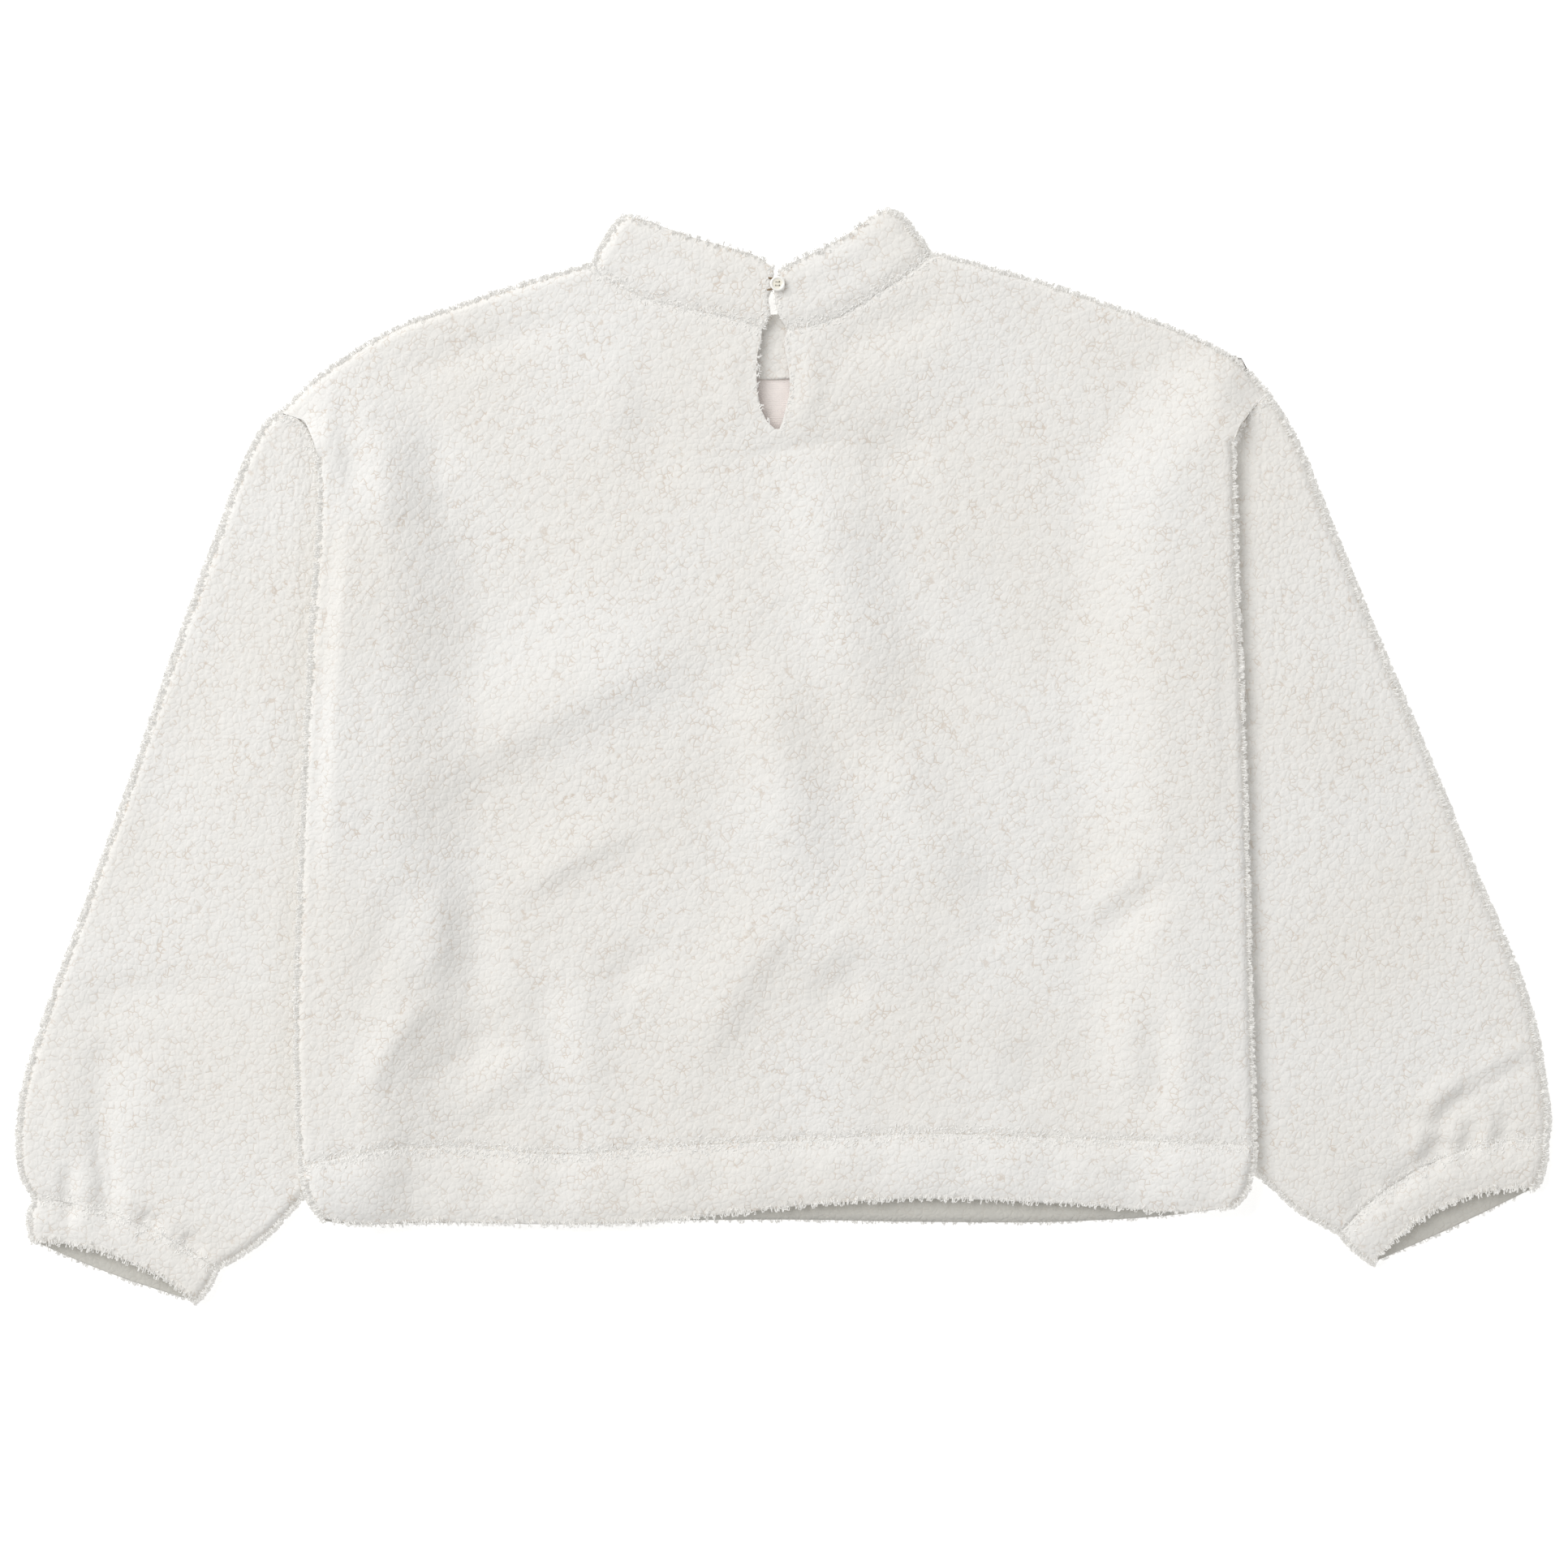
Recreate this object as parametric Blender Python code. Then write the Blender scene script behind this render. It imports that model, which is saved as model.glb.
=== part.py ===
"""A cream pile pullover with a stand collar, laid out flat with its back upwards.

Sizes are in millimetres until a mesh is made. X runs across the garment, Y from hem to collar
and Z upwards. The floor is Z = 0, and the origin is under the middle of the garment's box.
Every cloth piece is a closed wall between two grids of points, its outer and its inner face.
"""
import math
from collections import namedtuple

import bmesh
import bpy
import numpy as np

MM = 0.001

# Rows of the tables: a place, the body's two edges, a sleeve's section from its outer to its
# inner edge, a fold's line with its rise and its reach to each side, and the keyhole's two edges
Point = namedtuple("Point", "x y")
Side = namedtuple("Side", "y left right")
Section = namedtuple("Section", "out_x out_y in_x in_y")
Fold = namedtuple("Fold", "x0 y0 x1 y1 rise reach")
Slit = namedtuple("Slit", "y left right")
# A cuff's draw: how far the middle of the upper layer lies up the sleeve at seam and mouth, and
# how far the lower layer's middle reaches past the mouth's corners
Draw = namedtuple("Draw", "seam mouth front")
# Rings of the doubled bands: the place from seam to fold, then how much thinner the cuff is, how
# far the hem's upper, lower and inner faces draw in, and the collar's share of its full thickness
CuffRing = namedtuple("CuffRing", "v inset")
HemRing = namedtuple("HemRing", "v inset floor within")
CollarRing = namedtuple("CollarRing", "v outside inside")

# Cloth
KNIT = 1.0
PILE = 3.5
WALL = KNIT + PILE
BAND_WALL = 6.5
CUFF_WALL = 6.0
COLLAR_WALL = 7.0
SEAM_GAP = 0.3
LAYER_GAP = 1.0

# Heights of what lies on the floor
SIDE_SEAM = 5.0
EDGE_ROUND = 6.0
SLEEVE_HIDDEN = 11.2
SLEEVE_OPEN = 12.6
CUFF_HIGH = 13.0
LIFT = 11.9
NECK_RAISE = 2.6
BAND_GAP = 0.8

# How far from a hidden sleeve the cloth over it comes down, on each panel
FRONT_RAMP = 56.0
BACK_RAMP = 76.0
LIFT_LEVEL = 12.0

# Button and loop
BUTTON_RADIUS = 4.8
BUTTON_THICK = 2.2
BUTTON_BEVEL = 0.6
BUTTON_RIM = 1.1
BUTTON_DISH = 0.6
BUTTON_SIDES = 20
BUTTON_HOLE = 0.6
BUTTON_HOLE_SIDES = 8
BUTTON_HOLE_PITCH = 1.15
SHANK_RADIUS = 1.0
SHANK_SIDES = 12
# How far the shank's end and the holes' cutters reach into or past the button
SHANK_END = 0.4
HOLE_PAST = 1.0
LOOP_RADIUS = 0.6
BUTTON_AT = Point(-3.6, 301.6)
SHANK_AT = Point(-1.6, 301.6)

# The body's side edges, from the hem seam up to the sleeves' seams
SIDES = [
    Side(-267.0, -307.8, 301.6),
    Side(-190.0, -311.2, 299.2),
    Side(-88.0, -308.4, 296.4),
    Side(16.0, -304.2, 293.6),
    Side(68.0, -301.6, 291.6),
    Side(120.0, -298.0, 289.2),
    Side(165.0, -295.4, 288.2),
]
ARMHOLE_LEFT = [Point(-296.4, 188.8), Point(-300.0, 200.7), Point(-306.3, 214.3), Point(-322.0, 219.7)]
ARMHOLE_RIGHT = [Point(287.2, 198.5), Point(291.8, 211.0), Point(301.0, 223.5), Point(309.6, 232.6)]
SHOULDER_LEFT = [
    Point(-322.0, 219.7), Point(-293.3, 244.9), Point(-241.8, 275.6), Point(-212.0, 286.2),
    Point(-183.6, 296.0), Point(-122.7, 314.1),
]
SHOULDER_RIGHT = [
    Point(309.6, 232.6), Point(288.6, 253.2), Point(257.4, 269.8), Point(215.8, 285.4),
    Point(174.2, 299.8), Point(93.6, 321.9),
]
NECK_BACK = [
    Point(-122.7, 314.1), Point(-115.9, 308.2), Point(-91.0, 294.3), Point(-59.3, 286.0),
    Point(-33.8, 280.6), Point(-5.2, 272.6), Point(18.2, 275.6), Point(40.6, 284.4),
    Point(60.3, 296.4), Point(87.7, 315.0), Point(93.6, 321.9),
]
NECK_FRONT = [
    Point(-122.7, 314.1), Point(-115.4, 305.6), Point(-91.0, 276.1), Point(-59.8, 255.3),
    Point(-7.3, 241.8), Point(46.8, 256.9), Point(72.8, 282.4), Point(87.4, 312.4),
    Point(93.6, 321.9),
]
HEM_SEAM = [
    Point(-307.8, -263.1), Point(-269.9, -254.8), Point(-207.0, -251.7), Point(-148.2, -255.8),
    Point(-65.0, -250.6), Point(18.2, -246.5), Point(85.8, -242.8), Point(174.2, -245.4),
    Point(244.4, -247.5), Point(301.2, -249.6),
]
HEM_BACK = [
    Point(-307.8, -286.0), Point(-293.8, -294.8), Point(-278.0, -298.6), Point(-231.4, -298.8),
    Point(-85.8, -298.6), Point(-33.8, -293.3), Point(18.2, -287.6), Point(80.1, -283.9),
    Point(182.5, -287.0), Point(273.0, -290.7), Point(301.6, -285.0),
]
HEM_FRONT = [
    Point(-307.8, -287.0), Point(-293.8, -297.0), Point(-278.0, -299.8), Point(-231.4, -299.6),
    Point(-85.8, -298.2), Point(7.8, -297.6), Point(91.0, -299.0), Point(195.0, -298.2),
    Point(264.7, -292.4), Point(301.6, -284.0),
]
# How far the hem band's side edges come in, from its seam down to its fold
HEM_TUCK = [Point(0.0, 0.0), Point(0.5, 2.8), Point(0.85, 7.4), Point(1.0, 13.0)]

SLEEVE_LEFT = [
    Section(-322.0, 219.7, -270.4, 151.3),
    Section(-330.6, 212.2, -269.4, 141.0),
    Section(-339.0, 198.1, -267.8, 125.3),
    Section(-359.3, 147.2, -266.2, 83.7),
    Section(-387.4, 70.7, -266.2, 23.9),
    Section(-415.5, -11.4, -266.2, -45.2),
    Section(-445.1, -93.6, -266.2, -119.1),
    Section(-474.8, -175.8, -269.4, -197.1),
    Section(-485.2, -210.1, -278.2, -234.5),
    Section(-489.3, -238.7, -293.8, -264.7),
    Section(-489.3, -255.3, -310.4, -284.4),
    Section(-486.7, -269.9, -333.4, -308.6),
    Section(-478.9, -283.9, -364.0, -328.8),
]
SLEEVE_RIGHT = [
    Section(309.6, 232.6, 260.5, 162.8),
    Section(326.0, 205.4, 257.9, 134.7),
    Section(347.9, 153.4, 257.4, 87.9),
    Section(379.6, 75.9, 257.4, 26.5),
    Section(411.8, 0.5, 259.0, -42.1),
    Section(442.0, -73.8, 261.0, -113.9),
    Section(472.7, -147.2, 264.7, -187.7),
    Section(482.6, -181.5, 274.0, -225.7),
    Section(486.7, -208.5, 292.4, -256.2),
    Section(489.3, -227.2, 313.2, -274.7),
    Section(489.8, -237.6, 334.6, -293.2),
    Section(488.3, -245.4, 357.2, -305.4),
]
CUFF_LEFT = [
    Section(-479.2, -284.5, -364.3, -329.4),
    Section(-483.0, -296.5, -367.6, -338.0),
    Section(-481.0, -311.0, -376.5, -349.6),
]
CUFF_RIGHT = [
    Section(488.5, -246.0, 357.6, -306.0),
    Section(487.4, -263.0, 365.6, -315.6),
    Section(481.6, -277.0, 378.0, -325.0),
]
# The collar's free edge: behind, on each side of the slit, and in front
COLLAR_LEFT_EDGE = [
    Point(-95.6, 344.4), Point(-85.8, 342.0), Point(-75.4, 338.0), Point(-54.6, 330.9),
    Point(-33.8, 325.2), Point(-14.0, 318.2), Point(-6.2, 311.6),
]
COLLAR_RIGHT_EDGE = [
    Point(-2.6, 311.2), Point(6.0, 315.8), Point(18.2, 321.2), Point(28.6, 326.4),
    Point(39.0, 332.6), Point(60.0, 347.6),
]
COLLAR_FRONT_EDGE = [
    Point(-95.6, 344.0), Point(-78.0, 315.1), Point(-54.6, 296.9), Point(-31.2, 286.5),
    Point(-7.3, 282.9), Point(18.2, 287.0), Point(38.0, 299.5), Point(53.0, 318.1),
    Point(60.0, 347.6),
]
COLLAR_CORNERS = (Point(-103.4, 345.4), Point(71.6, 349.8))
# Where each end of the collar meets the slit, on the neck seam
COLLAR_SLIT = (-13.4, 2.8)

KEYHOLE = [
    Slit(282.0, -13.0, 3.2),
    Slit(271.0, -13.5, 2.4),
    Slit(263.0, -14.8, 0.6),
    Slit(256.0, -16.7, 1.8),
    Slit(247.0, -17.2, 3.6),
    Slit(234.5, -16.7, 4.4),
    Slit(222.0, -14.4, 1.6),
    Slit(213.5, -10.2, -0.6),
    Slit(209.0, -5.2, -2.4),
]
# Heights between which the keyhole's cutter stands
KEYHOLE_CUT = (2.0, 30.0)

# The back panel's largest folds: where each runs, its rise and how far it reaches to each side
BACK_FOLDS = [
    Fold(-190.0, 14.0, -112.0, 54.0, 3.6, 15.0),
    Fold(-112.0, 54.0, -35.0, 84.0, 3.8, 15.0),
    Fold(-226.0, 205.0, -180.0, 40.0, -0.9, 16.0),
    Fold(0.0, 168.0, 29.0, 54.0, 3.6, 15.0),
    Fold(29.0, 54.0, 44.0, -12.0, 3.2, 14.0),
    Fold(-22.0, 54.0, -2.0, -90.0, 2.8, 12.0),
    Fold(-4.0, -92.0, -36.0, -140.0, 3.2, 14.0),
    Fold(-36.0, -140.0, -72.0, -205.0, 3.0, 14.0),
    Fold(58.0, -74.0, 14.0, -126.0, 2.6, 13.0),
    Fold(14.0, -126.0, -7.0, -165.0, 2.2, 12.0),
    Fold(-158.0, -65.0, -92.0, -29.0, 2.2, 12.0),
    Fold(-203.0, -98.0, -219.0, -150.0, 2.6, 13.0),
    Fold(-219.0, -150.0, -262.0, -205.0, 2.4, 13.0),
    Fold(185.0, -108.0, 230.0, -56.0, 2.2, 13.0),
    Fold(232.0, -145.0, 234.0, -218.0, 2.6, 12.0),
    Fold(-252.0, 203.0, -252.0, 151.0, 1.8, 10.0),
    Fold(-110.0, 286.0, -186.0, 269.0, -0.9, 10.0),
    Fold(40.0, 262.0, 112.0, 290.0, 1.6, 12.0),
    Fold(-24.0, 266.0, -24.0, 222.0, 0.9, 6.0),
    Fold(12.0, 262.0, 12.0, 222.0, 1.2, 6.0),
    Fold(29.0, 200.0, 94.0, 196.0, -0.8, 10.0),
]
LEFT_FOLDS = [
    Fold(-434.0, -205.0, -434.0, -277.0, -2.0, 9.0),
    Fold(-456.6, -261.0, -456.6, -294.0, -1.8, 4.5),
    Fold(-433.0, -277.0, -430.0, -296.0, -2.0, 5.0),
    Fold(-403.0, -290.0, -402.0, -304.0, -1.8, 5.0),
    Fold(-376.0, -310.0, -377.0, -320.0, -1.5, 5.0),
    Fold(-430.0, -147.0, -380.0, -147.0, -1.2, 12.0),
]
RIGHT_FOLDS = [
    Fold(457.6, -186.7, 434.2, -210.1, -1.8, 6.0),
    Fold(434.2, -210.1, 417.5, -230.0, -2.2, 6.0),
    Fold(417.5, -230.0, 416.5, -252.0, -2.2, 6.0),
    Fold(416.5, -252.0, 396.0, -274.0, -2.0, 6.0),
    Fold(448.0, -182.0, 425.0, -204.0, 1.6, 7.0),
    Fold(425.0, -204.0, 407.0, -228.0, 1.6, 7.0),
    Fold(440.0, -240.0, 440.0, -254.0, -1.8, 5.0),
    Fold(462.0, -236.0, 462.0, -252.0, -1.4, 5.0),
]
# Where the hem band bulges between its stitches: one ripple for each pitch along it
HEM_RIPPLE = 0.6
HEM_RIPPLE_PITCH = 44.0

# A sleeve's inner edge lies under the body while it is nearer the middle than this, and the
# places where it comes out again
SLEEVE_UNDER = 300.0
SLEEVE_LEAVES_LEFT = Point(-304.0, -277.0)
SLEEVE_LEAVES_RIGHT = Point(303.0, -266.0)
# How far from the shoulder's end the body is sewn to the sleeve and can't rise over it
ARMHOLE_REACH = 38.0
# The gap at the sleeve's seam, as a shift of its first section
SLEEVE_SEAM_DROP = Point(-0.34, -0.66)
# How far from the body's edge a sleeve swells to its full height
SLEEVE_PUFF_REACH = 18.0
# The sleeve is pressed flatter at its seam, over this share of its length
SLEEVE_PRESS = 1.5
SLEEVE_PRESS_FADE = 0.12
# Shares of a sleeve's length: where the armhole's shape has faded, and where the cuff's draw starts
ARMHOLE_BOW_FADE = 0.09
DRAW_FROM = 0.82
# The deepest trough, and how far from the body's edges its folds reach their full height
FOLD_DEEPEST = 2.4
FOLD_CALM = 32.0
# Where the front collar lies between the panels, as half the width and length of an ellipse
NECK_RAISE_AT = Point(-13.0, 312.0)
NECK_RAISE_WIDE = 122.0
NECK_RAISE_LONG = 86.0
NECK_RAISE_FADE = 1.55

LEFT_CUFF = Draw(9.0, 9.5, 2.6)
RIGHT_CUFF = Draw(16.0, 14.0, 1.0)

CUFF_RINGS = [CuffRing(0.0, 0.6), CuffRing(0.4, 0.0), CuffRing(0.78, 0.35), CuffRing(1.0, 1.9)]
HEM_RINGS = [
    HemRing(0.0, 1.5, 0.0, 0.6), HemRing(0.2, 0.3, 0.0, 0.1), HemRing(0.55, 0.0, 0.0, 0.0),
    HemRing(0.86, 0.6, 0.6, 0.3), HemRing(1.0, 2.3, 2.3, 1.8),
]
COLLAR_RINGS = [
    CollarRing(0.0, 0.62, 0.80), CollarRing(0.16, 0.96, 1.0), CollarRing(0.5, 1.0, 1.0),
    CollarRing(0.86, 0.88, 0.9), CollarRing(1.0, 0.34, 0.34),
]
# The collar's ends at the slit are this share of its thickness, over the last stretch
COLLAR_SEAM_GAP = 0.35
COLLAR_END = 0.8
COLLAR_END_REACH = 4.0
COLLAR_TOP = 2 * COLLAR_WALL + BAND_GAP
LOOP_PATH = [
    Point(-10.2, 305.6), Point(-6.0, 305.0), Point(-1.6, 304.2), Point(0.9, 301.6),
    Point(-1.6, 299.0), Point(-6.0, 298.4), Point(-10.2, 297.8),
]

# The panels' grids
BODY_ACROSS = 610.0
BODY_ALONG = 480.0
BACK_COLUMNS = 34
BACK_ROWS = 27
FRONT_COLUMNS = 22
FRONT_ROWS = 18
# The neck's share of the panels' width, and the width of the collar's fold at each end of it
NECK_FROM, NECK_TO, NECK_FOLD = 0.315, 0.658, 0.011
ARMHOLE_STOPS = (0.91, 0.935, 0.965, 1.0)
EDGE_ANGLES = (0.0, 32.0, 62.0, 90.0)
# The step that finds the way inwards from an edge, and how far a cut edge's shift may stretch
PROBE = 0.2
LEAST_FACING = 0.6
# A sleeve's sections stand closer towards the cuff; 1 would space them evenly
SLEEVE_RINGS = 18
SLEEVE_EVEN = 0.55
CUFF_STOPS = (0.14, 0.24, 0.34, 0.44, 0.54, 0.64, 0.74, 0.86)

# Places along a sleeve's sections, and across them on the upper and the lower layer
TOP_STOPS = (0.60, 0.70, 0.80, 0.90)
LOW_STOPS = (0.15, 0.38, 0.62, 0.85)
ROUND_ANGLES = (45.0, 90.0)


def clear_scene():
    for item in list(bpy.data.objects):
        bpy.data.objects.remove(item, do_unlink=True)


def ease(value, low, high):
    """0 below low, 1 above high and a smooth step between them."""
    t = np.clip((np.asarray(value, float) - low) / (high - low), 0.0, 1.0)
    return t * t * (3.0 - 2.0 * t)


def smooth_curve(points, stops):
    """Points of a Catmull-Rom curve through a short list, at the given fractions of its length."""
    p = np.array(points, float)
    reach = np.linalg.norm(np.diff(p[:, :2], axis=0), axis=1)
    knot = np.concatenate([[0.0], np.cumsum(reach)]) / reach.sum()
    slope = np.gradient(p, knot, axis=0)
    s = np.clip(np.asarray(stops, float), 0.0, 1.0)
    k = np.clip(np.searchsorted(knot, s, side="right") - 1, 0, len(p) - 2)
    h = (knot[k + 1] - knot[k])[:, None]
    t = ((s - knot[k]) / (knot[k + 1] - knot[k]))[:, None]
    return (
        p[k] * (1 + 2 * t) * (1 - t) ** 2
        + slope[k] * h * t * (1 - t) ** 2
        + p[k + 1] * t * t * (3 - 2 * t)
        + slope[k + 1] * h * t * t * (t - 1)
    )


def value_at(x, points):
    """The second column of a short table at the given values of its first, joined smoothly."""
    p = np.array(points, float)
    slope = np.gradient(p[:, 1], p[:, 0])
    x = np.clip(np.asarray(x, float), p[0, 0], p[-1, 0])
    k = np.clip(np.searchsorted(p[:, 0], x, side="right") - 1, 0, len(p) - 2)
    h = p[k + 1, 0] - p[k, 0]
    t = (x - p[k, 0]) / h
    return (
        p[k, 1] * (1 + 2 * t) * (1 - t) ** 2
        + slope[k] * h * t * (1 - t) ** 2
        + p[k + 1, 1] * t * t * (3 - 2 * t)
        + slope[k + 1] * h * t * t * (t - 1)
    )


def path_distance(x, y, path):
    """Shortest distance from each place to a run of straight stretches."""
    best = np.full(np.shape(x), np.inf)
    for (ax, ay), (bx, by) in zip(path[:-1], path[1:]):
        dx, dy = bx - ax, by - ay
        t = np.clip(((x - ax) * dx + (y - ay) * dy) / (dx * dx + dy * dy), 0.0, 1.0)
        best = np.minimum(best, np.hypot(x - ax - t * dx, y - ay - t * dy))
    return best


def inside(x, y, outline):
    """True where a place lies inside a closed outline, by counting the edges to its right."""
    hit = np.zeros(np.shape(x), bool)
    for (ax, ay), (bx, by) in zip(outline, outline[1:] + outline[:1]):
        crosses = (ay > y) != (by > y)
        rise = by - ay if by != ay else 1e-9
        hit ^= crosses & (x < ax + (y - ay) * (bx - ax) / rise)
    return hit


def fold_rise(x, y, folds):
    """Height of all the folds at a place: each is a bell across its line, with round ends."""
    total = np.zeros(np.shape(x))
    for fold in folds:
        d = path_distance(x, y, [(fold.x0, fold.y0), (fold.x1, fold.y1)])
        total = total + fold.rise * np.exp(-0.5 * (d / fold.reach) ** 2)
    return total


def side_x(y, side):
    """The body's left or right edge at a height on the garment."""
    armhole = {"left": ARMHOLE_LEFT, "right": ARMHOLE_RIGHT}[side][0]
    table = [(row.y, getattr(row, side)) for row in SIDES] + [(armhole.y, armhole.x)]
    return value_at(y, table)


def side_outline(side):
    """The body's side edge from the hem seam to where the sleeve's seam comes out, as points."""
    top = {"left": ARMHOLE_LEFT, "right": ARMHOLE_RIGHT}[side][0].y
    heights = np.linspace(SIDES[0].y, top, 13)
    return list(zip(side_x(heights, side), heights))


def hidden_sleeve(side):
    """The plan outline of the stretch of sleeve that lies under the body."""
    rows = {"left": SLEEVE_LEFT, "right": SLEEVE_RIGHT}[side]
    inner = [(row.in_x, row.in_y) for row in rows if abs(row.in_x) < SLEEVE_UNDER]
    leave = {"left": SLEEVE_LEAVES_LEFT, "right": SLEEVE_LEAVES_RIGHT}[side]
    return inner + [tuple(leave)] + side_outline(side)


HIDDEN = {side: hidden_sleeve(side) for side in ("left", "right")}


def lift(x, y, ramp):
    """How far the body is raised by the sleeves that lie under its sides."""
    total = np.zeros(np.shape(x))
    for side, shoulder in (("left", ARMHOLE_LEFT[-1]), ("right", ARMHOLE_RIGHT[-1])):
        outline = HIDDEN[side]
        d = path_distance(x, y, outline + outline[:1])
        d = np.where(inside(x, y, outline), 0.0, d)
        sewn = ease(np.hypot(x - shoulder.x, y - shoulder.y), 0.0, ARMHOLE_REACH)
        total = np.maximum(total, sewn * (1.0 - ease(d, LIFT_LEVEL, ramp)))
    return LIFT * total


def neck_raise(x, y):
    """The panels ride up where the front collar lies between them."""
    r = np.hypot((x - NECK_RAISE_AT.x) / NECK_RAISE_WIDE, (y - NECK_RAISE_AT.y) / NECK_RAISE_LONG)
    return NECK_RAISE * (1.0 - ease(r, 1.0, NECK_RAISE_FADE))


def rounded_paths():
    """The panels' edges that are folds or side seams, where the cloth turns round."""
    stops = np.linspace(0.0, 1.0, 17)
    return [
        side_outline("left"),
        side_outline("right"),
        [tuple(p) for p in smooth_curve(SHOULDER_LEFT, stops)],
        [tuple(p) for p in smooth_curve(SHOULDER_RIGHT, stops)],
    ]


ROUNDED = rounded_paths()


def edge_distance(x, y):
    return np.min([path_distance(x, y, path) for path in ROUNDED], axis=0)


def turn(x, y):
    """0 at a rounded edge, rising along a quarter circle to 1 at EDGE_ROUND from it."""
    d = np.clip(edge_distance(x, y) / EDGE_ROUND, 0.0, 1.0)
    return np.sqrt(np.clip(1.0 - (1.0 - d) ** 2, 0.0, 1.0))


def seam_level(x, y):
    """Height of the plane in which the front and the back panel are sewn together."""
    return lift(x, y, BACK_RAMP) + SIDE_SEAM + neck_raise(x, y)


def back_face(x, y):
    """Height of the back panel's outer face, which looks up."""
    calm = ease(edge_distance(x, y), EDGE_ROUND, FOLD_CALM)
    folds = np.maximum(fold_rise(x, y, BACK_FOLDS), -LAYER_GAP / 2) * calm
    return seam_level(x, y) + SEAM_GAP / 2 + (LAYER_GAP + WALL + folds) * turn(x, y)


def front_face(x, y):
    """Height of the front panel's outer face, which looks down and rests on the floor."""
    seam = seam_level(x, y) - SEAM_GAP / 2
    return seam - (seam - lift(x, y, FRONT_RAMP)) * turn(x, y)


def coons(bottom, top, left, right, u, v):
    """A grid of places that blends four border curves, read at u across and v along."""
    u, v = u[:, None, None], v[None, :, None]
    bottom, top = bottom[:, None, :], top[:, None, :]
    left, right = left[None, :, :], right[None, :, :]
    corners = (
        (1 - u) * (1 - v) * bottom[:1] + u * (1 - v) * bottom[-1:]
        + (1 - u) * v * top[:1] + u * v * top[-1:]
    )
    return (1 - v) * bottom + v * top + (1 - u) * left + u * right - corners


def edge_stops(length):
    """Fractions near a rounded edge that follow its quarter circle."""
    return [EDGE_ROUND * (1 - math.cos(math.radians(a))) / length for a in EDGE_ANGLES]


def panel_stops(columns, rows):
    """The grid's fractions across and along, closer at the edges and through the neck's ends."""
    rim = edge_stops(BODY_ACROSS)
    neck = (NECK_FROM + NECK_FOLD, NECK_TO - NECK_FOLD)
    side, middle = round(columns * NECK_FROM), round(columns * (NECK_TO - NECK_FROM))
    across = np.concatenate([
        rim[:-1],
        np.linspace(rim[-1], NECK_FROM, side + 1),
        np.linspace(*neck, middle + 1),
        np.linspace(NECK_TO, 1 - rim[-1], side + 1),
        1 - np.array(rim[:-1])[::-1],
    ])
    crown = edge_stops(BODY_ALONG)
    along = np.concatenate([
        np.linspace(0.0, ARMHOLE_STOPS[0], rows), ARMHOLE_STOPS[1:-1], 1 - np.array(crown)[::-1],
    ])
    return across, along


def split_curve(first, middle, last, stops):
    """Three curves read as one: a shoulder, the neckline and the other shoulder."""
    a, c = stops <= NECK_FROM, stops >= NECK_TO
    b = ~a & ~c
    return np.concatenate([
        smooth_curve(first, stops[a] / NECK_FROM),
        smooth_curve(middle, neck_fraction(stops[b])),
        smooth_curve(last, (stops[c] - NECK_TO) / (1 - NECK_TO)),
    ])


def neck_fraction(stops):
    return (stops - NECK_FROM) / (NECK_TO - NECK_FROM)


def side_curve(side, stops):
    """The side border: up the body's edge, then through the armhole's own points."""
    armhole = {"left": ARMHOLE_LEFT, "right": ARMHOLE_RIGHT}[side]
    seam_end = HEM_SEAM[0] if side == "left" else HEM_SEAM[-1]
    low = stops <= ARMHOLE_STOPS[0]
    heights = seam_end.y + (armhole[0].y - seam_end.y) * stops[low] / ARMHOLE_STOPS[0]
    body = np.stack([side_x(heights, side), heights], axis=1)
    x = np.interp(stops[~low], ARMHOLE_STOPS, [p.x for p in armhole])
    y = np.interp(stops[~low], ARMHOLE_STOPS, [p.y for p in armhole])
    return np.concatenate([body, np.stack([x, y], axis=1)])


def panel_plan(neckline, u, v):
    """The grid of places that a panel covers."""
    top = split_curve(SHOULDER_LEFT, neckline, SHOULDER_RIGHT[::-1], u)
    across = HEM_SEAM[0].x + (HEM_SEAM[-1].x - HEM_SEAM[0].x) * u
    bottom = np.column_stack([across, value_at(across, HEM_SEAM)])
    left, right = side_curve("left", v), side_curve("right", v)
    bottom[0], bottom[-1] = left[0], right[0]
    top[0], top[-1] = left[-1], right[-1]
    return coons(bottom, top, left, right, u, v)


def inward(plan):
    """Unit directions away from the nearest rounded edge; a rim takes its neighbour's."""
    x, y = plan[..., 0], plan[..., 1]
    toward = np.stack([
        edge_distance(x + PROBE, y) - edge_distance(x - PROBE, y),
        edge_distance(x, y + PROBE) - edge_distance(x, y - PROBE),
    ], axis=-1)
    toward[:, -1] = toward[:, -2]
    toward[0], toward[-1] = toward[1], toward[-2]
    return toward / np.maximum(np.linalg.norm(toward, axis=-1, keepdims=True), 1e-6)


def along_cut(shift, plan, toward, rows):
    """Turns the shifts along a cut edge so that they stay on the cut's own line."""
    tangent = np.gradient(plan[rows], axis=0)
    tangent /= np.linalg.norm(tangent, axis=1, keepdims=True)
    facing = np.sum(tangent * toward[rows], axis=1, keepdims=True)
    size = np.linalg.norm(shift[rows], axis=1, keepdims=True)
    shift[rows] = tangent * size * np.sign(facing) / np.maximum(np.abs(facing), LEAST_FACING)


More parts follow.
